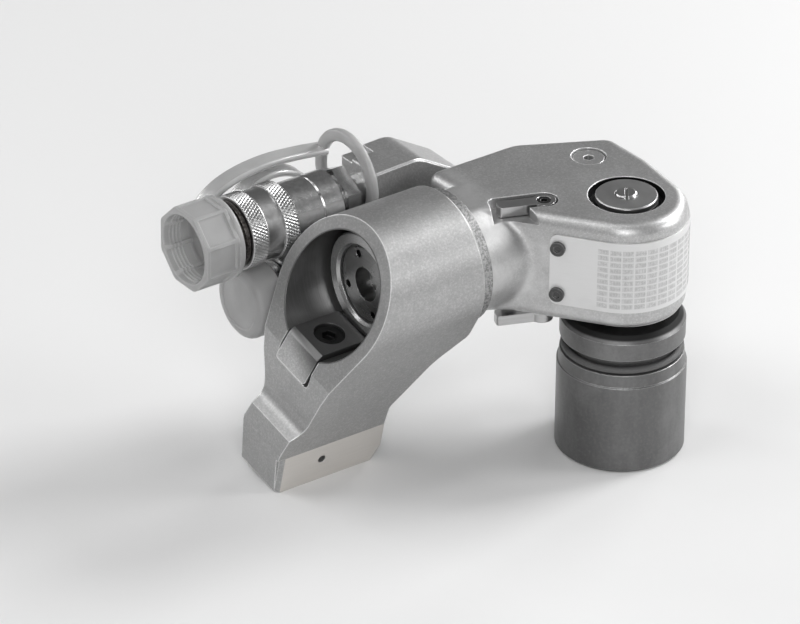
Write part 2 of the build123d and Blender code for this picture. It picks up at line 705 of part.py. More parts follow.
def ratchet_wheel():
    body = prism_z(ratchet_outline(), MID_Z - RATCHET_THICK / 2, MID_Z + RATCHET_THICK / 2)
    body += cyl_z(HUB_R, HUB_LOW, HUB_TOP)
    body -= ring_z(HUB_R + 1, DISC_R + 0.2, HEAD_TOP - RING_SINK, HEAD_TOP)
    bore = spline_points(SPLINE_R + RUN, SPLINE_R - SPLINE_DEPTH + RUN, SPLINE_TEETH, 0.54)
    return body - prism_z(bore, HUB_LOW - 1, HUB_TOP + 1)


def square_drive():
    shoulder_z = HEAD_BOTTOM - SHOULDER_LEN
    square = block(-SQUARE / 2, SQUARE / 2, -SQUARE / 2, SQUARE / 2, shoulder_z - SQUARE_LEN, shoulder_z)
    square = chamfer(square.faces().sort_by(Axis.Z)[0].edges(), 1.0)
    body = square + cyl_z(SHOULDER_R, shoulder_z, HEAD_BOTTOM - GAP)
    body += cyl_z(SPLINE_R + 1, HEAD_BOTTOM - 1, HUB_LOW - SEAT)
    teeth = spline_points(SPLINE_R, SPLINE_R - SPLINE_DEPTH, SPLINE_TEETH, 0.5)
    body += prism_z(teeth, HUB_LOW - 1, HUB_TOP - SEAT)
    body -= cyl_z(SPIGOT_R + SEAT, HUB_TOP - SPIGOT_LEN - 0.6, HUB_TOP + 1)
    body -= cyl_z(STEM_R + 1.6, HUB_TOP - SPIGOT_LEN - SPRING_ROOM, HUB_TOP)
    body -= cyl_z(STEM_R + SLIDE, HUB_TOP - STEM_LEN - 3, HUB_TOP)
    return body


def drive_retainer():
    body = cyl_z(DISC_R, HUB_TOP, HUB_TOP + DISC_THICK)
    body = chamfer(body.faces().sort_by(Axis.Z)[-1].edges(), 0.4)
    body += cyl_z(SPIGOT_R, HUB_TOP - SPIGOT_LEN, HUB_TOP + 0.5)
    body -= cyl_z(SPIGOT_BORE, HUB_TOP - SPIGOT_LEN - 1, HUB_TOP)
    return body - cyl_z(BUTTON_R + SLIDE, HUB_TOP - 1, HEAD_TOP + 3)


def retainer_button():
    top = HUB_TOP + DISC_THICK + BUTTON_RISE
    body = cyl_z(BUTTON_R, HUB_TOP - 0.5, top)
    body = fillet(body.faces().sort_by(Axis.Z)[-1].edges(), 1.4)
    body += cyl_z(SPIGOT_BORE - 0.2, HUB_TOP - 1.6, HUB_TOP - GAP)
    body += cyl_z(STEM_R, HUB_TOP - STEM_LEN, HUB_TOP)
    return body - Rot(0, 0, SLOT_DIR) * block(-BUTTON_R, BUTTON_R, -0.6, 0.6, top - 1.2, top + 1)


# Release levers and holding pawl

UPPER_LEVER_Z = HEAD_TOP - POCKET_DEPTH + GAP
LOWER_LEVER_Z = HEAD_BOTTOM - LOWER_LEVER_DROP - LEVER_THICK


def release_lever(z0, hub_low, hub_high):
    z1 = z0 + LEVER_THICK
    half = LEVER_WIDTH / 2
    bar = block(0, LEVER_LEN, -half, half, z0, z1)
    tip = bar.edges().filter_by(Axis.Z).sort_by(Axis.X)[-2:]
    bar = fillet(tip, 1.2)
    bar = Pos(LEVER_X, LEVER_Y, 0) * Rot(0, 0, LEVER_DIR) * bar
    body = bar + cyl_z(LEVER_HUB_R, hub_low, hub_high, LEVER_X, LEVER_Y)
    body -= cyl_z(LEVER_SCREW_R + SEAT, z0 - 5, z1 + 5, LEVER_X, LEVER_Y)
    return body


def lever_screw(face_z, inward):
    """Screw in the hub of a lever, its socket in the outer face."""
    low, high = sorted((face_z, face_z + inward * 1.8))
    body = cyl_z(LEVER_SCREW_R, low, high, LEVER_X, LEVER_Y)
    low, high = sorted((face_z, face_z + inward * 5.5))
    body += cyl_z(1.2, low, high, LEVER_X, LEVER_Y)
    low, high = sorted((face_z - inward, face_z + inward * 1.4))
    return body - hex_z(2.5, low, high, LEVER_X, LEVER_Y)


def release_shaft():
    low = LOWER_LEVER_Z + LEVER_THICK - 1.8
    high = UPPER_LEVER_Z + LEVER_THICK - 2.0
    body = cyl_z(LEVER_SCREW_R, low, high, LEVER_X, LEVER_Y)
    body += cyl_z(SHAFT_R, HEAD_BOTTOM - 0.2, UPPER_LEVER_Z - GAP, LEVER_X, LEVER_Y)
    for z in (low, high):
        body -= cyl_z(1.22, z - 4, z + 4, LEVER_X, LEVER_Y)
    return body


def holding_pawl():
    outline = [(LEVER_X + 1.5, LEVER_Y - 4.4), polar(RATCHET_R + 0.45, 117.5), (-9.7, 19.2),
               (LEVER_X + 1.5, LEVER_Y + 4.5)]
    body = prism_z(outline, PAWL_LOW, PAWL_HIGH) + cyl_z(4.6, PAWL_LOW, PAWL_HIGH, LEVER_X, LEVER_Y)
    return body - cyl_z(SHAFT_R + SEAT, PAWL_LOW - 1, PAWL_HIGH + 1, LEVER_X, LEVER_Y)


# Reaction arm and latch

def face_at(drop):
    """X of the slanted front face at a height on the leaning frame."""
    return FACE_X + drop * FACE_SLANT


def touch_point(y, z, side):
    """Where a line from (y, z) touches the outside of the sleeve."""
    away = math.hypot(y, z)
    angle = math.atan2(z, y) + side * math.acos(SLEEVE_R / away)
    return (SLEEVE_R * math.cos(angle), SLEEVE_R * math.sin(angle))


def edge_across(shape, x, z):
    """The edge along Y that runs through (x, z)."""
    return shape.edges().filter_by(Axis.Y).sort_by_distance((x, 0, z))[0]


def reaction_arm():
    front = -140.0
    pad_top = -FOOT_DROP + PAD_HIGH
    calf = (14.2, -42.0)
    cross = [touch_point(FOOT_FACE, pad_top, -1), (FOOT_FACE, pad_top), (FOOT_FACE, -FOOT_DROP),
             (FOOT_BACK_FACE, -FOOT_DROP), (FOOT_BACK_FACE, -60.0), (FOOT_BACK_FACE - 2.4, -CREASE_DROP),
             calf, touch_point(*calf, 1)]
    body = prism_x(cross, front, SLEEVE_BACK) + cyl_x(SLEEVE_R, front, SLEEVE_BACK)
    side = [
        (face_at(30), 30), (face_at(-25.5), -25.5), SHIN_TOP, INSTEP, (CREASE_X, -CREASE_DROP),
        (FOOT_FRONT_X, -62), (FOOT_TOE_X, -FOOT_DROP), (FOOT_REAR_X - 3.6, -FOOT_DROP),
        (FOOT_REAR_X, -75.5), HEEL, ANKLE, CALF, (SLEEVE_BACK - 2.1, -19.6), (SLEEVE_BACK, -15),
        (SLEEVE_BACK, 30)]
    shape = prism_y(side, -40, 40)
    for spot, radius in ((SHIN_TOP, 9), (INSTEP, 7), (HEEL, 12), (ANKLE, 5), (CALF, 24)):
        shape = fillet(edge_across(shape, *spot), radius)
    body &= shape
    body -= cyl_x(SLEEVE_BORE, front, SLEEVE_BACK + 1)
    rear = SLEEVE_BACK - SLEEVE_BEVEL
    body -= turned_x([(rear, SLEEVE_R), (SLEEVE_BACK + 1, SLEEVE_R - SLEEVE_BEVEL - 1),
                      (SLEEVE_BACK + 1, SLEEVE_R + 9), (rear, SLEEVE_R + 9)])
    body -= prism_z([(FOOT_FRONT_X - 1, FOOT_FACE + TOE_BEVEL - 1), (FOOT_FRONT_X - 1, FOOT_FACE - 1),
                     (FOOT_TOE_X + TOE_BEVEL, FOOT_FACE - 1), (FOOT_TOE_X + TOE_BEVEL, FOOT_FACE),
                     (FOOT_TOE_X, FOOT_FACE + TOE_BEVEL)], -FOOT_DROP - 1, pad_top)
    grooves = spline_points(COLLAR_R + SLIDE, SLEEVE_BORE - 0.5, COLLAR_TEETH, COLLAR_SHARE + 0.075)
    body -= prism_x(grooves, NECK_END_X - COLLAR_LEN - 3, SLEEVE_BACK + 1)
    half = LATCH_WIDTH / 2 + LATCH_SIDE
    notch = block(front, LATCH_BACK + 0.5, -half, half, LATCH_BOTTOM - LATCH_ROOM, -18)
    body -= fillet(notch.edges().filter_by(Axis.X).sort_by(Axis.Z)[:2], 1.6)
    pocket = LATCH_BOTTOM - LATCH_ROOM - LATCH_SPRING_ROOM
    body -= cyl_z(LATCH_SPRING_R + 1, pocket, LATCH_BOTTOM, LATCH_SCREW_X, 0)
    body -= cyl_z(LATCH_STUD_R + SEAT, pocket - 8, pocket + 1, LATCH_SCREW_X, 0)
    body -= cyl_y(FOOT_HOLE_R, FOOT_FACE - 1, FOOT_FACE + FOOT_HOLE_DEPTH, FOOT_HOLE_X, -FOOT_HOLE_DROP)
    return arm_frame(body)


def arm_latch():
    """Push plate in the mouth of the bore, with a hook for the groove of the barrel."""
    half = LATCH_WIDTH / 2
    bevel = LATCH_TOP - LATCH_BEVEL
    rear_top = -BARREL_R - 0.5
    rim_back = BARREL_FRONT + RIM_LEN
    hook_front = rim_back + GAP
    side = [
        (face_at(bevel), bevel), (face_at(bevel) + LATCH_BEVEL, LATCH_TOP), (BARREL_FRONT - 1, LATCH_TOP),
        (BARREL_FRONT - 1, rear_top), (hook_front, rear_top), (hook_front, -BARREL_R + GROOVE_DEPTH - 0.4),
        (hook_front + HOOK_LEN, -BARREL_R + GROOVE_DEPTH - 0.4), (hook_front + HOOK_LEN, rear_top),
        (LATCH_BACK, rear_top), (LATCH_BACK, LATCH_BOTTOM), (face_at(LATCH_BOTTOM), LATCH_BOTTOM)]
    body = prism_y(side, -half, half)
    body = fillet(body.edges().filter_by_position(Axis.Z, LATCH_BOTTOM - 0.1, LATCH_BOTTOM + 0.1)
                  .filter_by(Axis.X), 1.2)
    floor = LATCH_TOP - LATCH_HEAD_SINK - LATCH_HEAD_LEN - GAP
    body -= cyl_z(LATCH_HEAD_R + 0.2, floor, 0, LATCH_SCREW_X, 0)
    return arm_frame(body - cyl_z(LATCH_STUD_R + 0.1, -40, 0, LATCH_SCREW_X, 0))


def latch_screw():
    top = LATCH_TOP - LATCH_HEAD_SINK
    body = cyl_z(LATCH_HEAD_R, top - LATCH_HEAD_LEN, top, LATCH_SCREW_X, 0)
    body += cyl_z(LATCH_STUD_R, top - LATCH_STUD_LEN, top - 1, LATCH_SCREW_X, 0)
    return arm_frame(body - hex_z(5.0, top - 2.4, top + 1, LATCH_SCREW_X, 0))


def latch_spring():
    low = LATCH_BOTTOM - LATCH_ROOM - LATCH_SPRING_ROOM + GAP
    return arm_frame(coil(LATCH_SPRING_R, 0.9, low, LATCH_BOTTOM - GAP, 4, LATCH_SCREW_X, 0))


# Swivel manifold, couplers, caps and straps

def manifold_outline():
    circles = [
        corner(SWIVEL_X, SWIVEL_Z, SWIVEL_BOSS_R), corner(BLOCK_BEND_X, BLOCK_TOP - BLOCK_BEND_R, BLOCK_BEND_R),
        corner(PORT_FACE_X + 1, BLOCK_TOP - 1.6, 1), corner(PORT_FACE_X + 3, BLOCK_BOTTOM + 3, 3),
        corner(BLOCK_BEND_X, BLOCK_BOTTOM + 9, 9)]
    return make_face(make_hull(circles))


def swivel_manifold():
    face = Plane(origin=(0, BLOCK_FAR, 0), x_dir=(1, 0, 0), z_dir=(0, -1, 0)) * manifold_outline()
    body = extrude(face, BLOCK_DEPTH, dir=(0, -1, 0))
    rims = body.faces().sort_by(Axis.Y)
    body = chamfer(rims[0].outer_wire().edges() + rims[-1].outer_wire().edges(), 0.7)
    body -= cyl_y(POST_R + RUN, BLOCK_NEAR - 1, BLOCK_FAR + 1, SWIVEL_X, SWIVEL_Z)
    body -= block(PORT_FACE_X - 1, -57.5, BLOCK_FAR - 7, BLOCK_FAR + 1, BLOCK_TOP - 2.2, BLOCK_TOP + 1)
    for z in (PORT_A_Z, PORT_B_Z):
        body -= cyl_x(PIPE_R, PORT_FACE_X - 1, PORT_FACE_X + PIPE_LEN + 1, PORT_Y, z)
        body -= cyl_x(OIL_R, PORT_FACE_X, SWIVEL_X, PORT_Y, z)
        low, high = sorted((z, SWIVEL_Z))
        body -= cyl_z(OIL_R, low, high, SWIVEL_X, PORT_Y)
    return body


SEAL_PLACES = [BLOCK_NEAR + 2.5, PORT_Y - 0.8, BLOCK_FAR - 4.1]
CLIP_THICK = 1.1


def swivel_post():
    clip_y = BLOCK_FAR + GAP
    body = cyl_y(POST_SCREW_R - SEAT, FAR_Y - POST_SCREW_LEN, FAR_Y + 1, SWIVEL_X, SWIVEL_Z)
    body += cyl_y(POST_FLANGE_R, FAR_Y + SEAT, BLOCK_NEAR - GAP, SWIVEL_X, SWIVEL_Z)
    body += cyl_y(POST_R, BLOCK_NEAR - 1, clip_y + 2.4, SWIVEL_X, SWIVEL_Z)
    for y in SEAL_PLACES:
        groove = cyl_y(POST_R + 1, y, y + 1.6, SWIVEL_X, SWIVEL_Z)
        body -= groove - cyl_y(POST_R - 1.4, y - 1, y + 3, SWIVEL_X, SWIVEL_Z)
    groove = cyl_y(POST_R + 1, clip_y, clip_y + CLIP_THICK, SWIVEL_X, SWIVEL_Z)
    return body - (groove - cyl_y(POST_R - 1, clip_y - 1, clip_y + 3, SWIVEL_X, SWIVEL_Z))


def ring_y(outer, inner, y0, y1):
    body = cyl_y(outer, y0, y1, SWIVEL_X, SWIVEL_Z)
    return body - cyl_y(inner, y0 - 1, y1 + 1, SWIVEL_X, SWIVEL_Z)


def nipple(z):
    body = hex_x(HEX_FLATS, HEX_FRONT, HEX_BACK, PORT_Y, z)
    body += cyl_x(PIPE_R - SEAT, HEX_BACK - 1, PORT_FACE_X + PIPE_LEN, PORT_Y, z)
    body += cyl_x(CORE_R - 0.6, COUPLER_BACK + SEAT, HEX_FRONT + 1, PORT_Y, z)
    body += cyl_x(6.0, COUPLER_BACK - 8, HEX_FRONT, PORT_Y, z)
    return body - cyl_x(3.0, COUPLER_BACK - 9, PORT_FACE_X + PIPE_LEN + 1, PORT_Y, z)


TAIL_FRONT = COUPLER_BACK - TAIL_LEN
SLEEVE_LEN = BAND_LEN + WAIST_LEN + KNURL_LEN
COLLAR_A_BACK = TAIL_FRONT - COLLAR_GAP
COLLAR_A_FRONT = COLLAR_A_BACK - SLEEVE_LEN
NOSE_BACK = COLLAR_A_FRONT - COLLAR_GAP
NOSE_FRONT = NOSE_BACK - NOSE_LEN


def female_body():
    groove = COUPLER_BACK - TAIL_GROOVE
    profile = [
        (COUPLER_BACK, 6.0 + SEAT), (COUPLER_BACK, COUPLER_R - 0.8), (COUPLER_BACK - 0.8, COUPLER_R),
        (groove, COUPLER_R), (groove, COUPLER_R - 0.7), (groove - 1.0, COUPLER_R - 0.7),
        (groove - 1.0, COUPLER_R), (TAIL_FRONT, COUPLER_R), (TAIL_FRONT, CORE_R), (NOSE_BACK, CORE_R),
        (NOSE_BACK, NOSE_OUT_R), (NOSE_BACK - 1.6, NOSE_OUT_R), (NOSE_BACK - 1.6, NOSE_OUT_R - 1),
        (NOSE_BACK - 3.0, NOSE_OUT_R - 1), (NOSE_BACK - 3.0, NOSE_OUT_R), (NOSE_FRONT + 0.6, NOSE_OUT_R),
        (NOSE_FRONT, NOSE_OUT_R - 0.6), (NOSE_FRONT, MOUTH_R), (NOSE_FRONT + MOUTH_DEPTH, MOUTH_R),
        (NOSE_FRONT + MOUTH_DEPTH, 3.0), (COUPLER_BACK - 8.5, 3.0), (COUPLER_BACK - 8.5, 6.0 + SEAT)]
    return turned_x(profile, PORT_Y, PORT_A_Z)


def female_collar():
    """Spool with a knurled band at each end."""
    band_back = COLLAR_A_FRONT + BAND_LEN
    waist_back = band_back + WAIST_LEN
    profile = [
        (COLLAR_A_FRONT, CORE_R + RUN), (COLLAR_A_FRONT, KNURL_R - 0.6), (COLLAR_A_FRONT + 0.6, KNURL_R),
        (band_back - 0.5, KNURL_R), (band_back, WAIST_R), (waist_back, WAIST_R),
        (waist_back + 0.5, KNURL_R - 0.3), (COLLAR_A_BACK - 0.6, KNURL_R - 0.3),
        (COLLAR_A_BACK, COUPLER_R + 0.4), (COLLAR_A_BACK, CORE_R + RUN)]
    return turned_x(profile, PORT_Y, PORT_A_Z)


MALE_TAIL_FRONT = COUPLER_BACK - MALE_TAIL_LEN
COLLAR_B_BACK = MALE_TAIL_FRONT - COLLAR_GAP
COLLAR_B_FRONT = COLLAR_B_BACK - MALE_COLLAR_LEN
MALE_NOSE_BACK = COLLAR_B_FRONT - COLLAR_GAP
MALE_NOSE_FRONT = MALE_NOSE_BACK - MALE_NOSE_LEN


def male_body():
    profile = [
        (COUPLER_BACK, 6.0 + SEAT), (COUPLER_BACK, COUPLER_R - 1.5), (COUPLER_BACK - 1, COUPLER_R - 0.5),
        (MALE_TAIL_FRONT, COUPLER_R - 0.5), (MALE_TAIL_FRONT, CORE_R), (MALE_NOSE_BACK, CORE_R),
        (MALE_NOSE_BACK, CORE_R + 1.6), (MALE_NOSE_FRONT + 0.6, CORE_R + 1.6),
        (MALE_NOSE_FRONT, CORE_R + 1), (MALE_NOSE_FRONT, MOUTH_R - 1), (COUPLER_BACK - 9.5, 3.0),
        (COUPLER_BACK - 8.5, 3.0), (COUPLER_BACK - 8.5, 6.0 + SEAT)]
    return turned_x(profile, PORT_Y, PORT_B_Z)


def male_collar():
    profile = [
        (COLLAR_B_FRONT, CORE_R + RUN), (COLLAR_B_FRONT, KNURL_R - 1.4), (COLLAR_B_FRONT + 0.8, KNURL_R - 0.6),
        (COLLAR_B_BACK - 5.0, KNURL_R - 0.6), (COLLAR_B_BACK - 4.4, KNURL_R - 1.4),
        (COLLAR_B_BACK, KNURL_R - 1.4), (COLLAR_B_BACK, CORE_R + RUN)]
    return turned_x(profile, PORT_Y, PORT_B_Z)


CAP_A_BACK = NOSE_FRONT - GAP
CAP_A_FRONT = CAP_A_BACK - FLANGE_LEN - GRIP_LEN
CAP_B_BACK = MALE_NOSE_FRONT - GAP
CAP_B_FRONT = CAP_B_BACK - ROUND_CAP_LEN


def dust_cap_a():
    """Faceted hollow grip, flange and the plug that enters the coupler."""
    flange_front = CAP_A_BACK - FLANGE_LEN
    face = make_face(RegularPolygon(CAP_FLATS / 2 / math.cos(math.pi / 8), 8).edges())
    grip = Pos(CAP_A_FRONT, PORT_Y, PORT_A_Z) * Rot(0, 90, 0) * Rot(0, 0, 22.5) * extrude(face, GRIP_LEN)
    body = grip + cyl_x(FLANGE_R, flange_front, CAP_A_BACK, PORT_Y, PORT_A_Z)
    body -= cyl_x(CAP_BORE_R, CAP_A_FRONT - 1, CAP_A_FRONT + CAP_BORE_DEPTH, PORT_Y, PORT_A_Z)
    body += cyl_x(PLUG_PIN_R, CAP_A_BACK - 1, CAP_A_BACK + PLUG_PIN_LEN, PORT_Y, PORT_A_Z)
    for i in range(CAP_RIBS):
        rib = block(CAP_A_FRONT + 2, CAP_A_FRONT + CAP_BORE_DEPTH + 1, CAP_BORE_R - RIB_HIGH, CAP_BORE_R + 0.5,
                    -RIB_THICK / 2, RIB_THICK / 2)
        body += Pos(0, PORT_Y, PORT_A_Z) * Rot(i * 360 / CAP_RIBS, 0, 0) * rib
    return body


def dust_cap_b():
    profile = [
        (CAP_B_FRONT, 0), (CAP_B_FRONT, ROUND_CAP_R - 2.2), (CAP_B_FRONT + 0.7, ROUND_CAP_R - 0.7),
        (CAP_B_FRONT + 2.2, ROUND_CAP_R), (CAP_B_BACK, ROUND_CAP_R), (CAP_B_BACK, MOUTH_R - 1.4),
        (CAP_B_BACK + 5, MOUTH_R - 1.4), (CAP_B_BACK + 5, 0)]
    return turned_x(profile, PORT_Y, PORT_B_Z)


def strap_ring(centre):
    y, z = centre
    return ring_x(STRAP_R, STRAP_HOLE_R, RING_X, RING_X + RING_THICK, y, z)


def strap_band(points, y):
    """Flat band that follows a smooth line through (x, z) points, its width along Y."""
    line = Spline(*[(x, 0, z) for x, z in points])
    over = []
    under = []
    for i in range(25):
        place = line @ (i / 24)
        run = line % (i / 24)
        across = Vector(-run.Z, 0, run.X) * (STRAP_THICK / 2)
        over.append(place + across)
        under.append(place - across)
    rim = Spline(*over).edges() + Spline(*under).edges()
    rim += Line(over[0], under[0]).edges() + Line(over[-1], under[-1]).edges()
    band = extrude(make_face(rim), STRAP_WIDTH, dir=(0, 1, 0))
    return Pos(0, y - STRAP_WIDTH / 2, 0) * band


def cap_strap_a():
    """Strap that leaves the far side of its ring, arches over and drops behind its cap."""
    y = PORT_Y + max(FLANGE_R, CAP_FLATS / 2) + 2 * GAP + STRAP_WIDTH / 2
    mid = RING_X + RING_THICK / 2
    top = RING_A[1] + 7.7
    points = [
        (CAP_A_BACK - 0.2, top - 21.7), (CAP_A_BACK + 1.2, top - 16.7), (CAP_A_BACK + 3.0, top - 12.1),
        (CAP_A_BACK + 6.6, top - 7.5), (CAP_A_BACK + 13.2, top - 3.4), (CAP_A_BACK + 23, top - 0.8),
        (RING_X - 21.7, top), (RING_X - 8.3, top - 1.1), (mid, top - 2.5)]
    return strap_ring(RING_A) + strap_band(points, y)


def cap_strap_b():
    y = PORT_Y + max(KNURL_R, ROUND_CAP_R) + GAP + STRAP_WIDTH / 2
    mid = RING_X + RING_THICK / 2
    top = RING_A[1] + 3.4
    points = [
        (CAP_B_BACK - 3, PORT_B_Z - 4), (CAP_B_BACK - 4, PORT_B_Z + 14), (CAP_B_BACK - 0.9, top - 8.9),
        (CAP_B_BACK + 7.1, top - 1.6), (RING_X - 20.7, top), (RING_X - 10.2, top - 4.8), (RING_X - 4, top - 16.4),
        (mid, top - 32.4)]
    return strap_ring(RING_B) + strap_band(points, y)


# Socket

def impact_socket():
    body = turned_z([
        (0, 0), (SOCKET_R - 1, 0), (SOCKET_R, 1), (SOCKET_R, SOCKET_BODY), (SOCKET_R - 0.5, SOCKET_BODY + 0.4),
        (SOCKET_SHOULDER_R, SOCKET_SHOULDER), (SOCKET_GROOVE_R, SOCKET_SHOULDER + 0.3),
        (SOCKET_GROOVE_R, SOCKET_SHOULDER + 3.0), (SOCKET_GROOVE_R + 0.5, SOCKET_SHOULDER + 3.6),
        (SOCKET_GROOVE_R + 1.1, SOCKET_GROOVE_TOP - 1.2), (SOCKET_GROOVE_R + 1.5, SOCKET_GROOVE_TOP - 0.4),
        (SOCKET_COLLAR_R, SOCKET_GROOVE_TOP),
        (SOCKET_COLLAR_R, SOCKET_COLLAR), (SOCKET_TOP_R, SOCKET_TOP), (0, SOCKET_TOP)])
    body -= cyl_z(SOCKET_MOUTH_R, -1, SOCKET_MOUTH_DEPTH)
    body -= hex_z(SOCKET_HEX, 0, SOCKET_HEX_DEPTH)
    body -= cyl_z(SOCKET_BORE_R, SOCKET_HEX_DEPTH - 1, SOCKET_TOP)
    half = SQUARE / 2 + SLIDE
    return body - block(-half, half, -half, half, SOCKET_TOP - SOCKET_SQUARE_DEPTH, SOCKET_TOP + 1)


def socket_ring():
    """Round rubber ring in the foot of the groove."""
    z = SOCKET_SHOULDER + 0.35 + RUBBER_R
    return Pos(0, 0, z) * Torus(SOCKET_GROOVE_R + SEAT + RUBBER_R, RUBBER_R)


def build():
    put("head_housing", head_housing())
    put("bottom_cover", bottom_cover())
    put("cover_screws", *cover_screws())
    put("cylinder_barrel", cylinder_barrel())
    put("cylinder_end_cap", cylinder_end_cap())
    put("end_cap_seal", on_axis(seal_groove(CAP_BACK - 2 - SEAL_LEN, CAP_R - SEAT, CAP_R - SEAL_DEPTH)))
    put("rod_gland", rod_gland())
    put("rod_seal", on_axis(seal_groove(GLAND_X + 3, ROD_R + SEAL_DEPTH, ROD_R + RUN)))
    put("drive_bushing_top", ring_z(TOP_HOLE_R, HUB_R + RUN, CAVITY_TOP, HEAD_TOP - RING_SINK))
    put("drive_bushing_bottom", ring_z(TOP_HOLE_R, HUB_R + RUN, HEAD_BOTTOM + 0.2, CAVITY_FLOOR))
    put("data_plate", data_plate())
    put("plate_screws", *plate_screws())
    put("pin_plug", pin_plug())
    put("piston", piston())
    put("piston_seal", on_axis(seal_groove(PISTON_X + 3.5, BORE_R - RUN, BORE_R - SEAL_DEPTH)))
    put("piston_rod", piston_rod())
    put("rod_pin", cyl_z(PIN_R, PLATE_DOWN_Z + 0.4, PLATE_UP_Z + PLATE_THICK - 0.4, PIN_X, CYL_Y))
    put("crank_plate_upper", crank_plate(PLATE_UP_Z))
    put("crank_plate_lower", crank_plate(PLATE_DOWN_Z))
    pawl_x, pawl_y = polar(PAWL_DIST, PAWL_ANGLE)
    put("pawl_pin", cyl_z(PAWL_PIN_R, PLATE_DOWN_Z + 0.4, PLATE_UP_Z + PLATE_THICK - 0.4, pawl_x, pawl_y))
    put("pawl_spring", coil(PAWL_PIN_R + 0.8, 0.8, PAWL_HIGH - PAWL_SPRING_ROOM + GAP, PAWL_HIGH + 0.2, 2,
                            pawl_x, pawl_y))
    put("drive_pawl", drive_pawl())
    put("ratchet_wheel", ratchet_wheel())
    put("square_drive", square_drive())
    put("drive_retainer", drive_retainer())
    put("retainer_button", retainer_button())
    spring_low = HUB_TOP - SPIGOT_LEN - SPRING_ROOM
    put("button_spring", coil(STEM_R + 0.8, 0.6, spring_low, HUB_TOP - 1.6 - GAP, 5))
    put("release_lever_top", release_lever(UPPER_LEVER_Z, UPPER_LEVER_Z, UPPER_LEVER_Z + LEVER_THICK))
    put("release_lever_bottom", release_lever(LOWER_LEVER_Z, LOWER_LEVER_Z, HEAD_BOTTOM - GAP))
    put("lever_screws", lever_screw(UPPER_LEVER_Z + LEVER_THICK - 0.1, -1), lever_screw(LOWER_LEVER_Z + 0.1, 1))
    put("release_shaft", release_shaft())
    put("holding_pawl", holding_pawl())
    put("lever_spring", coil(SHAFT_R + 1.2, 0.9, PAWL_HIGH + GAP, CAVITY_TOP - GAP, 4, LEVER_X, LEVER_Y))
    put("reaction_arm", reaction_arm())
    put("arm_latch", arm_latch())
    put("latch_screw", latch_screw())
    put("latch_spring", latch_spring())
    put("swivel_post", swivel_post())
    put("swivel_seals", *[ring_y(POST_R, POST_R - 1.4, y, y + 1.6) for y in SEAL_PLACES])
    clip_y = BLOCK_FAR + GAP
    put("swivel_clip", ring_y(POST_R + 2, POST_R - 1, clip_y, clip_y + CLIP_THICK))
    put("swivel_manifold", swivel_manifold())
    put("coupler_a_nipple", nipple(PORT_A_Z))
    put("coupler_a_body", female_body())
    put("coupler_a_collar", female_collar())
    put("dust_cap_a", dust_cap_a())
    put("cap_strap_a", cap_strap_a())
    put("coupler_b_nipple", nipple(PORT_B_Z))
    put("coupler_b_body", male_body())
    put("coupler_b_collar", male_collar())
    put("dust_cap_b", dust_cap_b())
    put("cap_strap_b", cap_strap_b())
    put("impact_socket", impact_socket())
    put("socket_ring", socket_ring())


build()
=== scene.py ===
import json
import math

import bpy
from mathutils import Matrix, Vector


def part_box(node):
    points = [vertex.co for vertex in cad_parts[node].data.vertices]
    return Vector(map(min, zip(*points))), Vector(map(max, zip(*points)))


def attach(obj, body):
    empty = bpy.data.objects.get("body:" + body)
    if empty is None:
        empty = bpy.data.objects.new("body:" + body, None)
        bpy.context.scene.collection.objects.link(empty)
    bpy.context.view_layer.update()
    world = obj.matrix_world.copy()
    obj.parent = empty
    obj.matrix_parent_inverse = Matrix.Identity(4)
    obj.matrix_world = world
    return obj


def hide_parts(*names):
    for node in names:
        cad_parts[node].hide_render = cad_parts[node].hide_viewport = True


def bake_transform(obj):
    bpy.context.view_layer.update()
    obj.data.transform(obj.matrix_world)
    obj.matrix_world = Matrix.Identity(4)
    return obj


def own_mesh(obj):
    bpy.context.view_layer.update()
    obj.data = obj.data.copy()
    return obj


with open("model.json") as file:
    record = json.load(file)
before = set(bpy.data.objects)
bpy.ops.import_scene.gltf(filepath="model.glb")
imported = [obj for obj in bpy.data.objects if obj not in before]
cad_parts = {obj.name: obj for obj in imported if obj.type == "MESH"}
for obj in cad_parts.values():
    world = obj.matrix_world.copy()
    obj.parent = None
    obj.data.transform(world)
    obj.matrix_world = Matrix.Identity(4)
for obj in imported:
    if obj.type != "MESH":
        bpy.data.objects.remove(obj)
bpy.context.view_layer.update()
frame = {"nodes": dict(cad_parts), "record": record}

MM = 0.001

# Camera, fitted to the photograph's angle (millimetres)
CAM_PLACE = (-1364.2, -1721.8, 1315.2)
CAM_RIGHT = (0.8099, -0.5864, 0.0108)
CAM_UP = (0.2847, 0.4092, 0.8669)
CAM_LOOK = (0.5128, 0.6990, -0.4984)
CAM_FOCAL = 6920.18
IMAGE_WIDTH = 800
SENSOR = 36.0

# Places on the part that its materials follow
ARM_LEAN = math.radians(13.0)
ARM_AXIS_Y = 31.4 * MM
ARM_AXIS_Z = 81.7 * MM
ARM_BORE_R = 22.95 * MM
PAD_FACE = -9.1 * MM
PAD_TOP = -65.2 * MM
RETAINER_HOLE_R = 14.6 * MM
RETAINER_HOLE_TOP = 102.9 * MM
POCKET_TOP = 102.0 * MM
POCKET_FLOOR = 97.5 * MM
POCKET_X = -19.0 * MM
POCKET_Y = 6.5 * MM
POCKET_REACH = 52.0 * MM
NECK_EDGE = 22.0 * MM
NECK_SLOPE = 0.6
SHOULDER_X = -60.5 * MM
MOUTH_EDGE = -136.6 * MM
MOUTH_SLOPE = 0.30
STAINED_X = -123.0 * MM
SOCKET_SHADE_Z = 54.7 * MM


# Node helpers

# Places of the colour sockets in Blender's Mix node
MIX_COLOUR_A = 6
MIX_COLOUR_B = 7
MIX_COLOUR_OUT = 2


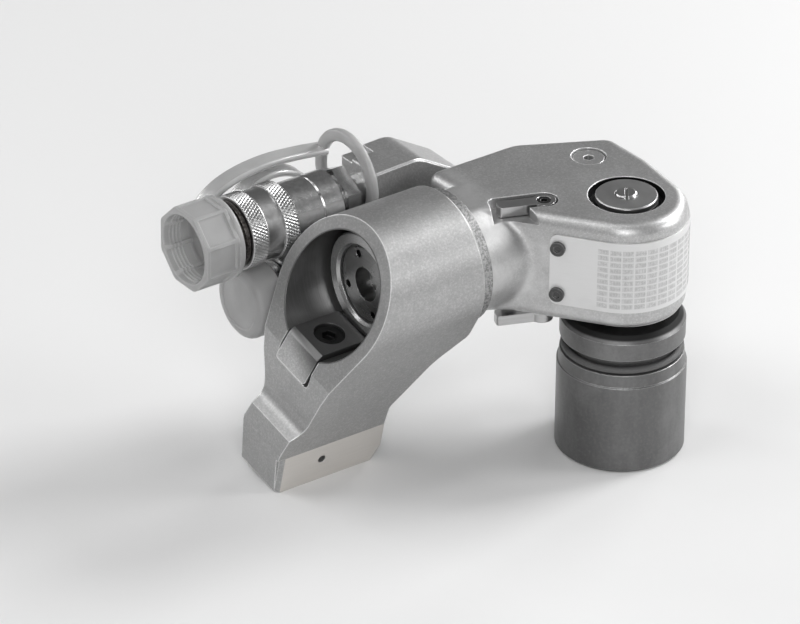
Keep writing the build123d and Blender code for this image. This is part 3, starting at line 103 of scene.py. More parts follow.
class Nodes:
    """Short calls for building one material's node tree."""

    def __init__(self, name):
        self.mat = bpy.data.materials.new(name)
        self.mat.use_nodes = True
        self.tree = self.mat.node_tree
        self.tree.nodes.clear()
        self.out = self.add("ShaderNodeOutputMaterial")
        self.coord = self.add("ShaderNodeTexCoord").outputs["Object"]

    def add(self, kind, **facts):
        node = self.tree.nodes.new(kind)
        for key, value in facts.items():
            setattr(node, key, value)
        return node

    def link(self, a, b):
        self.tree.links.new(a, b)

    def put(self, socket, value):
        """Sets a socket to a number or colour, or links it to another socket."""
        if isinstance(value, bpy.types.NodeSocket):
            self.link(value, socket)
        else:
            socket.default_value = value

    def mapping(self, scale):
        """Object coordinates, scaled apart along X, Y and Z."""
        node = self.add("ShaderNodeMapping")
        self.link(self.coord, node.inputs["Vector"])
        node.inputs["Scale"].default_value = scale
        return node.outputs["Vector"]

    def noise(self, scale, detail=3.0, rough=0.55, vector=None):
        node = self.add("ShaderNodeTexNoise")
        self.link(vector or self.coord, node.inputs["Vector"])
        node.inputs["Scale"].default_value = scale
        node.inputs["Detail"].default_value = detail
        node.inputs["Roughness"].default_value = rough
        return node.outputs["Fac"]

    def ramp(self, value, stops):
        """Grey ramp through (place, level) stops."""
        node = self.add("ShaderNodeValToRGB")
        self.link(value, node.inputs["Fac"])
        items = node.color_ramp.elements
        while len(items) < len(stops):
            items.new(0.5)
        for item, (place, level) in zip(items, stops):
            item.position = place
            item.color = (level, level, level, 1)
        return node.outputs["Color"]

    def math(self, kind, a, b=0.0):
        node = self.add("ShaderNodeMath", operation=kind)
        for socket, value in zip(node.inputs, (a, b)):
            self.put(socket, value)
        return node.outputs["Value"]

    def span(self, value, low, high):
        """Maps 0..1 to low..high."""
        node = self.add("ShaderNodeMapRange")
        self.put(node.inputs["Value"], value)
        node.inputs["To Min"].default_value = low
        node.inputs["To Max"].default_value = high
        return node.outputs["Result"]

    def mix(self, factor, a, b):
        """Colour a at factor 0 and colour b at factor 1."""
        node = self.add("ShaderNodeMix", data_type="RGBA")
        self.put(node.inputs["Factor"], factor)
        self.put(node.inputs[MIX_COLOUR_A], a)
        self.put(node.inputs[MIX_COLOUR_B], b)
        return node.outputs[MIX_COLOUR_OUT]

    def bump(self, height, strength, distance, normal=None):
        node = self.add("ShaderNodeBump")
        self.link(height, node.inputs["Height"])
        node.inputs["Strength"].default_value = strength
        node.inputs["Distance"].default_value = distance
        if normal:
            self.link(normal, node.inputs["Normal"])
        return node.outputs["Normal"]

    def rounded(self, radius):
        """Normal that is rounded over sharp edges."""
        node = self.add("ShaderNodeBevel", samples=6)
        node.inputs["Radius"].default_value = radius
        return node.outputs["Normal"]

    def edge_wear(self, radius):
        """1 on sharp edges, broken up by noise, 0 on open faces: where edges are lightened, as wear and as
        painted highlight.
        """
        round_normal = self.rounded(radius)
        plain = self.add("ShaderNodeNewGeometry").outputs["Normal"]
        dot = self.add("ShaderNodeVectorMath", operation="DOT_PRODUCT")
        self.link(round_normal, dot.inputs[0])
        self.link(plain, dot.inputs[1])
        away = self.math("SUBTRACT", 1.0, dot.outputs["Value"])
        broken = self.math("MULTIPLY", away, self.span(self.noise(900.0, 4.0), 1.0, 9.0))
        return self.ramp(broken, [(0.10, 0.0), (0.55, 1.0)])

    def place(self):
        """X, Y and Z of the shaded point."""
        node = self.add("ShaderNodeSeparateXYZ")
        self.link(self.coord, node.inputs[0])
        return node.outputs

    def step(self, value, edge, width):
        """0 below an edge and 1 above it, over a short width."""
        node = self.add("ShaderNodeMapRange", interpolation_type="SMOOTHSTEP")
        self.put(node.inputs["Value"], value)
        node.inputs["From Min"].default_value = edge - width / 2
        node.inputs["From Max"].default_value = edge + width / 2
        return node.outputs["Result"]

    def below(self, value, edge, width=0.1 * MM):
        """1 below an edge and 0 above it, over a short width."""
        return self.math("SUBTRACT", 1.0, self.step(value, edge, width))

    def principled(self, **values):
        """The material's shader, with its inputs set or linked by name."""
        node = self.add("ShaderNodeBsdfPrincipled")
        for key, value in values.items():
            self.put(node.inputs[key.replace("_", " ")], value)
        self.link(node.outputs["BSDF"], self.out.inputs["Surface"])
        return node


def grey(level, warm=0.0):
    """Grey colour, a little towards yellow if warm is above 0."""
    return (level * (1 + warm), level, level * (1 - warm), 1.0)


def distance(n, a, b):
    """How far two coordinates lie from the line where both are 0."""
    return n.math("SQRT", n.math("ADD", n.math("MULTIPLY", a, a), n.math("MULTIPLY", b, b)))


def blasted(n, level, rough, grain):
    """Colour, roughness and normal of bead-blasted satin metal."""
    fine = n.noise(5200.0, 2.0, 0.6)
    speckle = n.noise(1150.0, 2.0, 0.7)
    cloud = n.noise(210.0, 3.0, 0.6)
    blotch = n.noise(55.0, 4.0, 0.6)
    pits = n.noise(1500.0, 3.0, 0.6)
    wear_and_highlight = n.edge_wear(0.8 * MM)
    tone = n.mix(n.ramp(blotch, [(0.3, 0.0), (0.7, 1.0)]), grey(level * 0.93), grey(level * 1.07))
    tone = n.mix(n.ramp(fine, [(0.38, 1.0), (0.52, 0.0)]), tone, grey(level * 0.78))
    tone = n.mix(n.ramp(cloud, [(0.46, 0.0), (0.62, 0.45)]), tone, grey(level * 0.84))
    tone = n.mix(n.ramp(speckle, [(0.52, 0.0), (0.66, 0.6)]), tone, grey(level * 1.22))
    tone = n.mix(n.ramp(speckle, [(0.34, 0.6), (0.46, 0.0)]), tone, grey(level * 0.80))
    # Edges lighter: wear and painted highlight.
    tone = n.mix(wear_and_highlight, tone, grey(min(1.0, level * 1.9)))
    roughness = n.span(blotch, rough - 0.05, rough + 0.06)
    normal = n.bump(pits, 0.22 * grain, 0.06 * MM, n.rounded(0.5 * MM))
    normal = n.bump(fine, 0.30 * grain, 0.03 * MM, normal)
    return tone, roughness, normal


def blasted_metal(name, level, rough, metal, grain):
    """Bead-blasted satin metal with fine grain, faint blotches and edges lightened by wear and by painted
    highlight.
    """
    n = Nodes(name)
    tone, roughness, normal = blasted(n, level, rough, grain)
    n.principled(Base_Color=tone, Roughness=roughness, Metallic=metal, Normal=normal)
    return n.mat


def arm_metal(name, level, rough):
    """Satin metal with a turned bore, darkened by painted shade, and a bare, ground reaction pad."""
    n = Nodes(name)
    tone, roughness, normal = blasted(n, level, rough, 1.0)
    place = n.place()
    y = n.math("SUBTRACT", place[1], ARM_AXIS_Y)
    z = n.math("SUBTRACT", place[2], ARM_AXIS_Z)
    cos = math.cos(ARM_LEAN)
    sin = math.sin(ARM_LEAN)
    across = n.math("ADD", n.math("MULTIPLY", y, cos), n.math("MULTIPLY", z, sin))
    drop = n.math("SUBTRACT", n.math("MULTIPLY", z, cos), n.math("MULTIPLY", y, sin))
    turning = n.noise(60.0, 3.0, 0.6, n.mapping((40, 1, 1)))
    # Turning lines in the bore, with painted shade that darkens it.
    turned_and_shaded_tone = n.mix(turning, grey(level * 0.36), grey(level * 0.58))
    bore = n.below(distance(n, y, z), ARM_BORE_R)
    tone = n.mix(bore, tone, turned_and_shaded_tone)
    roughness = n.mix(bore, roughness, grey(0.33))
    grinding = n.noise(50.0, 4.0, 0.6, n.mapping((1, 30, 30)))
    bare = n.mix(grinding, (0.60, 0.575, 0.545, 1), (0.67, 0.645, 0.615, 1))
    pad = n.math("MULTIPLY", n.below(across, PAD_FACE), n.below(drop, PAD_TOP))
    tone = n.mix(pad, tone, bare)
    roughness = n.mix(pad, roughness, grey(0.55))
    metallic = n.math("SUBTRACT", 0.85, n.math("MULTIPLY", pad, 0.45))
    n.principled(Base_Color=tone, Roughness=roughness, Metallic=metallic, Normal=normal)
    return n.mat


def head_metal(name, level, rough):
    """Satin metal, with painted shade down the retainer's hole and in the lever's pocket, and painted light
    in mottles on the neck.
    """
    n = Nodes(name)
    tone, roughness, normal = blasted(n, level, rough, 1.0)
    x, y, z = n.place()
    reach = distance(n, x, y)
    # Painted shade: near black down the retainer's hole.
    hole = n.math("MULTIPLY", n.below(reach, RETAINER_HOLE_R), n.below(z, RETAINER_HOLE_TOP))
    # Painted shade: a fifth darker in the lever's pocket.
    deep = n.math("MULTIPLY", n.below(z, POCKET_TOP, 1.2 * MM), n.step(z, POCKET_FLOOR, 1.0 * MM))
    behind = n.math("MULTIPLY", deep, n.below(x, POCKET_X, 1.0 * MM))
    pocket = n.math("MULTIPLY", behind, n.step(y, POCKET_Y, 1.0 * MM))
    pocket = n.math("MULTIPLY", pocket, n.below(reach, POCKET_REACH))
    tone = n.mix(pocket, tone, grey(level * 0.8))
    tone = n.mix(hole, tone, grey(0.02))
    # Painted light: paler mottles on the neck, where light falls.
    painted_light = n.ramp(n.noise(95.0, 3.0, 0.6), [(0.34, 0.1), (0.66, 0.8)])
    slope = n.math("ADD", x, n.math("MULTIPLY", z, NECK_SLOPE))
    neck = n.math("MULTIPLY", painted_light, n.below(slope, NECK_EDGE, 6.0 * MM))
    tone = n.mix(neck, tone, grey(level * 1.28))
    n.principled(Base_Color=tone, Roughness=roughness, Metallic=0.85, Normal=normal)
    return n.mat


def barrel_metal(name, level, rough):
    """Machined steel, with a dull speckled ring where the sleeve ends."""
    n = Nodes(name)
    lines = n.noise(90.0, 3.0, 0.6, n.mapping((60, 1, 1)))
    tone = n.mix(lines, grey(level * 0.88), grey(level * 1.08))
    speckle = n.noise(1000.0, 3.0, 0.7)
    speckled = n.mix(n.ramp(speckle, [(0.42, 0.0), (0.60, 1.0)]), grey(0.24), grey(0.46))
    ring = n.step(n.place()[0], SHOULDER_X, 0.3 * MM)
    tone = n.mix(ring, tone, speckled)
    roughness = n.mix(ring, grey(rough), grey(0.5))
    height = n.math("MULTIPLY", speckle, ring)
    normal = n.bump(height, 0.35, 0.12 * MM, n.rounded(0.3 * MM))
    n.principled(Base_Color=tone, Roughness=roughness, Metallic=0.9, Normal=normal)
    return n.mat


def latch_metal(name, level, rough):
    """Satin metal outside the bore's mouth, darkened by painted shade inside it."""
    n = Nodes(name)
    tone, roughness, normal = blasted(n, level, rough, 1.0)
    place = n.place()
    slope = n.math("SUBTRACT", place[0], n.math("MULTIPLY", place[2], MOUTH_SLOPE))
    # Painted shade: dark inside the mouth.
    inside = n.step(slope, MOUTH_EDGE, 2.0 * MM)
    tone = n.mix(inside, tone, grey(0.15))
    n.principled(Base_Color=tone, Roughness=roughness, Metallic=0.85, Normal=normal)
    return n.mat


def machined_metal(name, level, rough, warm=0.0):
    """Machined metal with fine tool lines."""
    n = Nodes(name)
    lines = n.noise(90.0, 3.0, 0.6, n.mapping((1, 1, 60)))
    blotch = n.noise(120.0, 3.0)
    wear_and_highlight = n.edge_wear(0.35 * MM)
    share = n.ramp(lines, [(0.3, 0.0), (0.7, 1.0)])
    tone = n.mix(share, grey(level * 0.88, warm), grey(level * 1.08, warm))
    # Edges lighter: wear and painted highlight.
    tone = n.mix(wear_and_highlight, tone, grey(min(1.0, level * 1.35), warm))
    normal = n.bump(lines, 0.12, 0.03 * MM, n.rounded(0.3 * MM))
    roughness = n.span(blotch, rough - 0.06, rough + 0.08)
    n.principled(Base_Color=tone, Roughness=roughness, Metallic=1.0, Normal=normal)
    return n.mat


def dark_steel(name, level, rough, shade_above=None):
    """Phosphated gunmetal with streaks, smudges and edges lightened by wear and by painted highlight, and
    with painted shade, near black and duller, above shade_above, if given.
    """
    n = Nodes(name)
    streak = n.noise(60.0, 4.0, 0.65, n.mapping((1, 1, 0.25)))
    smudge = n.noise(38.0, 5.0, 0.6)
    fine = n.noise(3200.0, 2.0, 0.6)
    speckle = n.noise(900.0, 3.0, 0.7)
    wear_and_highlight = n.edge_wear(0.5 * MM)
    tone = n.mix(n.ramp(streak, [(0.35, 0.0), (0.7, 1.0)]), grey(level * 0.8), grey(level * 1.25))
    tone = n.mix(n.ramp(smudge, [(0.5, 0.0), (0.75, 0.7)]), tone, grey(level * 1.6))
    tone = n.mix(n.ramp(speckle, [(0.50, 0.0), (0.72, 0.35)]), tone, grey(level * 1.4))
    tone = n.mix(n.ramp(speckle, [(0.28, 0.4), (0.48, 0.0)]), tone, grey(level * 0.8))
    # Edges lighter: wear and painted highlight.
    tone = n.mix(wear_and_highlight, tone, grey(min(1.0, level * 3.2)))
    normal = n.bump(fine, 0.35, 0.03 * MM, n.rounded(0.5 * MM))
    roughness = n.span(smudge, rough - 0.08, rough + 0.10)
    if shade_above is not None:
        # Painted shade: near black and duller above shade_above.
        top_shade = n.step(n.place()[2], shade_above, 0.8 * MM)
        tone = n.mix(top_shade, tone, grey(0.018))
        roughness = n.mix(top_shade, roughness, grey(0.6))
    n.principled(Base_Color=tone, Roughness=roughness, Metallic=0.7, Normal=normal)
    return n.mat


def bright_metal(name, level, rough):
    """Bright plated steel with faint turning lines and a dull, stained front end."""
    n = Nodes(name)
    turning = n.noise(70.0, 2.0, 0.5, n.mapping((60, 1, 1)))
    scratch = n.noise(520.0, 4.0, 0.6)
    tone = n.mix(n.ramp(scratch, [(0.35, 1.0), (0.6, 0.0)]), grey(level), grey(level * 0.88))
    stain = n.ramp(n.noise(900.0, 4.0, 0.7), [(0.40, 0.0), (0.62, 1.0)])
    stained = n.mix(stain, (0.055, 0.048, 0.044, 1), (0.20, 0.19, 0.18, 1))
    dull = n.below(n.place()[0], STAINED_X)
    tone = n.mix(dull, tone, stained)
    roughness = n.mix(dull, n.span(scratch, rough - 0.03, rough + 0.07), grey(0.5))
    normal = n.bump(turning, 0.05, 0.02 * MM)
    n.principled(Base_Color=tone, Roughness=roughness, Metallic=1.0, Normal=normal)
    return n.mat


def plastic(name, level):
    """Soft translucent plastic with a faint mould texture."""
    n = Nodes(name)
    cloud = n.noise(85.0, 3.0)
    fine = n.noise(1400.0, 3.0)
    tone = n.mix(n.ramp(cloud, [(0.3, 0.0), (0.7, 1.0)]), grey(level * 0.90), grey(level * 1.05))
    # Edges lighter: wear and painted highlight.
    tone = n.mix(n.edge_wear(0.6 * MM), tone, grey(level * 1.3))
    normal = n.bump(fine, 0.15, 0.03 * MM, n.rounded(0.4 * MM))
    roughness = n.span(cloud, 0.30, 0.45)
    shader = n.principled(Base_Color=tone, Roughness=roughness, Normal=normal)
    shader.inputs["IOR"].default_value = 1.45
    shader.inputs["Transmission Weight"].default_value = 0.35
    shader.inputs["Subsurface Weight"].default_value = 0.25
    shader.inputs["Subsurface Radius"].default_value = (4.0 * MM, 4.0 * MM, 4.0 * MM)
    shader.inputs["Subsurface Scale"].default_value = 1.0
    return n.mat


def rubber(name, level):
    """Dull black rubber with a fine grain."""
    n = Nodes(name)
    fine = n.noise(1600.0, 3.0)
    tone = n.mix(fine, grey(level * 0.8), grey(level * 1.5))
    normal = n.bump(fine, 0.3, 0.05 * MM)
    n.principled(Base_Color=tone, Roughness=n.span(fine, 0.5, 0.75), Normal=normal)
    return n.mat


def label_metal(name, level):
    """Light, faintly brushed plate."""
    n = Nodes(name)
    brushed = n.noise(160.0, 3.0, 0.6, n.mapping((1, 1, 40)))
    stain = n.noise(60.0, 3.0)
    tone = n.mix(brushed, grey(level * 0.95), grey(level * 1.04))
    tone = n.mix(n.ramp(stain, [(0.55, 0.0), (0.8, 0.4)]), tone, grey(level * 0.85))
    normal = n.bump(brushed, 0.05, 0.02 * MM, n.rounded(0.2 * MM))
    n.principled(Base_Color=tone, Roughness=n.span(stain, 0.34, 0.5), Metallic=0.35, Normal=normal)
    return n.mat


def print_ink(name, level):
    """Thin matt print, a little worn."""
    n = Nodes(name)
    worn = n.noise(700.0, 3.0)
    tone = n.mix(n.ramp(worn, [(0.4, 0.0), (0.7, 1.0)]), grey(level * 0.95), grey(level * 1.12))
    shader = n.principled(Base_Color=tone, Roughness=n.span(worn, 0.65, 0.8))
    shader.inputs["Specular IOR Level"].default_value = 0.2
    return n.mat


def make_materials():
    """Materials by slot, and the collars' own. The numbers are lightness and roughness."""
    return {
        "satin_head": head_metal("satin_head", 0.53, 0.42),
        "satin_arm": arm_metal("satin_arm", 0.47, 0.44),
        "machined_steel": machined_metal("machined_steel", 0.50, 0.30),
        "dark_steel": dark_steel("dark_steel", 0.155, 0.40),
        "black_steel": dark_steel("black_steel", 0.03, 0.35),
        "bright_steel": bright_metal("bright_steel", 0.66, 0.20),
        "collar_steel": bright_metal("collar_steel", 0.47, 0.30),
        "bronze": machined_metal("bronze", 0.45, 0.30, warm=0.25),
        "spring_steel": machined_metal("spring_steel", 0.30, 0.30),
        "label_silver": label_metal("label_silver", 0.74),
        "block_grey": blasted_metal("block_grey", 0.50, 0.36, 0.75, 0.6),
        "seal_rubber": rubber("seal_rubber", 0.03),
        "cap_plastic": plastic("cap_plastic", 0.53),
    }


def special_materials():
    """Materials of single nodes that look unlike the rest of their slot."""
    # Painted shade: the ratchet wheel and the top bushing near black, at the bottom of the dark ring round
    # the retainer.
    black = dark_steel("hole_painted_shade", 0.02, 0.40)
    return {
        "latch_screw": dark_steel("latch_screw_black", 0.014, 0.30),
        "socket_ring": rubber("ring_rubber", 0.09),
        "cylinder_barrel": barrel_metal("barrel_steel", 0.45, 0.27),
        "cylinder_end_cap": machined_metal("machined_dark", 0.26, 0.27),
        "drive_retainer": machined_metal("retainer_steel", 0.48, 0.38),
        "ratchet_wheel": black,
        "drive_bushing_top": black,
        "plate_screws": dark_steel("screw_steel", 0.075, 0.35),
        "coupler_a_nipple": mats["bright_steel"],
        "arm_latch": latch_metal("latch_steel", 0.72, 0.40),
        # Painted shade on the socket's top, under the head.
        "impact_socket": dark_steel("socket_steel", 0.165, 0.40, SOCKET_SHADE_Z),
    }


def dress_nodes():
    """Gives each CAD node its material."""
    slots = {row["node"]: row["material_slot"] for row in frame["record"]["subparts"]}
    special = special_materials()
    for name, obj in frame["nodes"].items():
        obj.data.materials.clear()
        obj.data.materials.append(special.get(name) or mats[slots[name]])


# Mesh helpers

def add_mesh(name, points, faces, body, slot, sharp=32.0):
    """New object, smooth but for edges sharper than sharp degrees. It rides on body, if given."""
    mesh = bpy.data.meshes.new(name)
    mesh.from_pydata([tuple(p) for p in points], [], faces)
    mesh.validate()
    for face in mesh.polygons:
        face.use_smooth = True
    mesh.set_sharp_from_angle(angle=math.radians(sharp))
    obj = bpy.data.objects.new(name, mesh)
    bpy.context.collection.objects.link(obj)
    mesh.materials.append(mats[slot])
    if body:
        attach(obj, body)
    return obj


def grid_faces(rings, count, closed):
    """Quads between rings of points that each hold count points."""
    faces = []
    for i in range(rings if closed else rings - 1):
        j = (i + 1) % rings
        for k in range(count):
            m = (k + 1) % count
            faces.append((i * count + k, i * count + m, j * count + m, j * count + k))
    return faces


def turned_parts(centre, profile, segments, shape=None):
    """Points and faces of a body turned about a line along X. The profile is a closed list of (x, radius)."""
    y, z = centre
    points = []
    for row, (x, radius) in enumerate(profile):
        for k in range(segments):
            angle = 2 * math.pi * k / segments
            r = shape(angle, radius, row) if shape else radius
            points.append((x, y + r * math.cos(angle), z + r * math.sin(angle)))
    return points, grid_faces(len(profile), segments, True)


def axis_of(node):
    """(first x, last x, y of the axis, z of the axis) of a round CAD node that lies along X."""
    low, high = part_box(node)
    return low[0], high[0], (low[1] + high[1]) / 2, (low[2] + high[2]) / 2


# Couplers

KNURL_COUNT = 66
KNURL_DEPTH = 0.34 * MM
KNURL_STRETCH = 1.6
COLLAR_BORE = 9.65 * MM
COLLAR_EDGE = 0.6 * MM
BAND_LIP = 0.45 * MM
BAND_CORNER = 0.1 * MM
WAIST_HOLLOW = 0.15 * MM
WAIST_CORNER = 0.5 * MM
COLLAR_SHARP = 12.0


def collar_rows(x0, x1, bands, waist):
    """Rows (x, radius, kind) of a knurled collar. The bands are (from, to, radius) from its front end."""
    rows = [(x0, COLLAR_BORE, "plain"), (x0, bands[0][2] - COLLAR_EDGE, "plain")]
    for i, (a, b, radius) in enumerate(bands):
        pitch = 2 * math.pi * radius / KNURL_COUNT
        first = x0 + a + BAND_LIP
        wide = b - a - 2 * BAND_LIP
        count = int(round(wide / (pitch / 2 * KNURL_STRETCH)))
        rows.append((x0 + a + BAND_CORNER, radius - BAND_LIP, "plain"))
        rows += [(first + wide * k / count, radius, "even" if k % 2 else "odd") for k in range(count + 1)]
        rows.append((x0 + b - BAND_CORNER, radius - BAND_LIP, "plain"))
        if i + 1 < len(bands):
            step = x0 + bands[i + 1][0]
            low = waist - WAIST_HOLLOW
            rows += [(x0 + b, waist, "plain"), (x0 + b + WAIST_CORNER, low, "plain"),
                     (step - WAIST_CORNER, low, "plain"), (step, waist, "plain")]
    return rows + [(x1, bands[-1][2] - COLLAR_EDGE, "plain"), (x1, COLLAR_BORE, "plain")]


def knurl_faces(kinds, segments):
    """Quads on plain rows, and between knurled rows triangles that meet at the pyramids' tips."""
    faces = []
    for i, kind in enumerate(kinds):
        j = (i + 1) % len(kinds)
        for k in range(segments):
            m = (k + 1) % segments
            a, b, c, d = i * segments + k, i * segments + m, j * segments + m, j * segments + k
            if kind == "plain" or kinds[j] == "plain":
                faces.append((a, b, c, d))
            elif (k % 2 == 0) == (kind == "even"):
                faces += [(a, b, c), (a, c, d)]
            else:
                faces += [(a, b, d), (b, c, d)]
    return faces


def knurled_collar(node, bands, waist):
    """Collar whose bands carry small pyramids, four flat faces each."""
    x0, x1, y, z = axis_of(node)
    rows = collar_rows(x0, x1, bands, waist)
    segments = 2 * KNURL_COUNT
    points = []
    for x, radius, kind in rows:
        for k in range(segments):
            angle = math.pi * k / KNURL_COUNT
            low = kind != "plain" and (k % 2 == 0) == (kind == "even")
            r = radius - KNURL_DEPTH if low else radius
            points.append((x, y + r * math.cos(angle), z + r * math.sin(angle)))
    faces = knurl_faces([kind for x, radius, kind in rows], segments)
    obj = add_mesh(node + "_knurled", points, faces, node, "bright_steel", COLLAR_SHARP)
    obj.data.materials[0] = mats["collar_steel"]
    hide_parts(node)


def make_collars():
    wide = (0.0, 6.9 * MM, 14.2 * MM)
    narrow = (14.2 * MM, 20.6 * MM, 14.15 * MM)
    knurled_collar("coupler_a_collar", [wide, narrow], 13.4 * MM)
    wide = (0.0, 5.6 * MM, 13.6 * MM)
    narrow = (9.0 * MM, 13.0 * MM, 13.4 * MM)
    knurled_collar("coupler_b_collar", [wide, narrow], 12.4 * MM)


# Springs, copied from the CAD

def pressed_spring(node, body):
    """Copy of a CAD spring that rides on its body."""
    obj = bpy.data.objects.new(node + "_coil", frame["nodes"][node].data.copy())
    bpy.context.collection.objects.link(obj)
    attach(obj, body)
    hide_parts(node)
    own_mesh(obj)


def make_springs():
    pressed_spring("button_spring", "drive")
    pressed_spring("latch_spring", "arm")


# Dust caps

CAP_SIDES = 8
CAP_CORNER = 1.062
CAP_SHARP = 38.0
GRIP_R = 15.0 * MM
CUP_R = 13.0 * MM
CUP_RINGS = 4
CUP_RING_TOP = 7.6
CUP_RING_PITCH = 1.5
PANEL_DEPTH = 0.6 * MM
RIB_HEIGHT = 0.8 * MM
CENTRE_R = 0.05 * MM


def facet(angle):
    """Factor from the apothem to the rim of the cap's grip, with soft corners."""
    half = math.pi / CAP_SIDES
    off = (angle + half) % (2 * half) - half
    return min(1 / math.cos(off), CAP_CORNER)


def from_middle(angle):
    """0 in the middle of a flat, 1 at a corner."""
    half = math.pi / CAP_SIDES
    return abs((angle + half) % (2 * half) - half) / half


def cap_a_rows(end):
    """Rows (x in millimetres, radius, kind) of the cap that ends at end: outside, plug, then the cup."""
    back = end - 6.0
    flange = back - 2.2
    cup = flange - 3.0
    rows = [
        (0.3, CUP_R + 0.1 * MM, "round"), (0.0, CUP_R + 0.4 * MM, "round"),
        (0.0, GRIP_R - 0.6 * MM, "facet"), (0.2, GRIP_R - 0.15 * MM, "facet"),
        (0.6, GRIP_R, "facet"), (1.5, GRIP_R, "facet"), (1.9, GRIP_R, "panel"), (2.1, GRIP_R, "panel"),
        (flange - 2.0, GRIP_R, "panel"), (flange - 1.8, GRIP_R, "panel"),
        (flange - 1.4, GRIP_R, "facet"), (flange - 0.3, GRIP_R, "facet"),
        (flange, GRIP_R + 0.1 * MM, "blend"),
        (flange + 0.2, GRIP_R + 0.55 * MM, "round"), (flange + 0.6, GRIP_R + 0.75 * MM, "round"),
        (back - 0.5, GRIP_R + 0.75 * MM, "round"), (back - 0.1, GRIP_R + 0.45 * MM, "round"),
        (back, GRIP_R, "round"), (back, 4.7 * MM, "round"), (end - 0.3, 4.7 * MM, "round"),
        (end, 4.3 * MM, "round"), (end, CENTRE_R, "round"), (cup, CENTRE_R, "round"),
        (cup, CUP_R - 1.0 * MM, "round"), (cup - 0.3, CUP_R - 0.4 * MM, "rib"), (cup - 0.8, CUP_R, "rib")]
    for k in range(CUP_RINGS):
        at = CUP_RING_TOP - CUP_RING_PITCH * k
        rows += [(at, CUP_R, "rib"), (at - 0.2, CUP_R - 0.35 * MM, "rib"),
                 (at - 0.5, CUP_R - 0.35 * MM, "rib"), (at - 0.7, CUP_R, "rib")]
    return rows


def cap_a_radius(kind, angle, radius):
    """Radius at an angle: facets and their recessed panels outside, round rows, and ribs in the cup."""
    if kind == "facet":
        return radius * facet(angle)
    if kind == "panel":
        inside = max(0.0, min(1.0, (0.90 - from_middle(angle)) / 0.07))
        return radius * facet(angle) - PANEL_DEPTH * inside
    if kind == "blend":
        return max(radius, GRIP_R * facet(angle) - 0.3 * MM)
    if kind == "rib":
        middle = from_middle(angle + math.pi / CAP_SIDES)
        return radius - RIB_HEIGHT * max(0.0, min(1.0, (0.20 - middle) / 0.08))
    return radius


def make_cap_a():
    """Grip with a lip, a recessed panel on each flat, ribs in its cup, a flange and the plug behind it."""
    x0, x1, y, z = axis_of("dust_cap_a")
    rows = cap_a_rows((x1 - x0) / MM)
    profile = [(x0 + a * MM, r) for a, r, kind in rows]

    def shape(angle, radius, row):
        return cap_a_radius(rows[row][2], angle, radius)

    points, faces = turned_parts((y, z), profile, CAP_SIDES * 60, shape)
    obj = add_mesh("dust_cap_a_grip", points, faces, "dust_cap_a", "cap_plastic", CAP_SHARP)
    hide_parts("dust_cap_a")


def make_cap_b():
    """Plain round cap with a soft front edge and a low step in its face."""
    x0, x1, y, z = axis_of("dust_cap_b")
    low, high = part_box("dust_cap_b")
    radius = (high[2] - low[2]) / 2
    mouth = 3.6 * MM
    end = x1 - x0
    rows = [
        (0.35 * MM, CENTRE_R), (0.35 * MM, radius - 4.2 * MM), (0.0, radius - 3.8 * MM),
        (0.05 * MM, radius - 2.6 * MM), (0.4 * MM, radius - 1.5 * MM), (1.0 * MM, radius - 0.7 * MM),
        (1.8 * MM, radius - 0.2 * MM), (2.8 * MM, radius), (end - 5.3 * MM, radius),
        (end - 5.0 * MM, radius - 0.3 * MM), (end - 5.0 * MM, mouth), (end, mouth), (end, CENTRE_R)]
    profile = [(x0 + a, r) for a, r in rows]
    points, faces = turned_parts((y, z), profile, 160)
    obj = add_mesh("dust_cap_b_round", points, faces, "dust_cap_b", "cap_plastic")
    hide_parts("dust_cap_b")


# Straps of the dust caps

PORT_Y = 73.6
STRAP_WIDTH = 8.0 * MM
STRAP_THICK = 2.6 * MM
RING_A = (78.1 * MM, 97.0 * MM)
RING_B = (79.5 * MM, 59.0 * MM)
RING_OUT = 18.5 * MM
RING_IN = 13.8 * MM
RING_BACK = -67.3 * MM
RING_FRONT = -70.3 * MM
RING_LIP = 0.8 * MM
RING_CORNER = 0.25 * MM
STRAP_STEPS = 10
STRAP_SHARP = 60.0
STRAP_ACROSS = Vector((0, 1, 0))
STRAP_A_SIDE = (PORT_Y + 19.7) * MM
STRAP_B_SIDE = (PORT_Y + 18.5) * MM


def smooth_line(points, steps):
    """Points on a smooth line that passes through the given ones."""
    line = []
    last = len(points) - 1
    for i in range(last):
        a, b = points[i], points[i + 1]
        before = points[i - 1] if i else a * 2 - b
        after = points[i + 2] if i + 2 <= last else b * 2 - a
        for k in range(steps):
            t = k / steps
            line.append(0.5 * ((2 * a) + (b - before) * t + (2 * before - 5 * a + 4 * b - after) * t * t
                               + (3 * a - before - 3 * b + after) * t * t * t))
    return line + [points[last]]


def strap_section():
    """Outline of the band: flat, with round edges and a shallow hollow along each face."""
    half_w = STRAP_WIDTH / 2
    half_t = STRAP_THICK / 2
    side = [
        (-half_w, 0.0), (-half_w + 0.2 * MM, 0.6 * half_t), (-half_w + 0.7 * MM, 0.93 * half_t),
        (-half_w + 1.4 * MM, half_t), (-0.3 * half_w, 0.9 * half_t), (0.3 * half_w, 0.9 * half_t),
        (half_w - 1.4 * MM, half_t), (half_w - 0.7 * MM, 0.93 * half_t),
        (half_w - 0.2 * MM, 0.6 * half_t)]
    return side + [(-a, -b) for a, b in side]


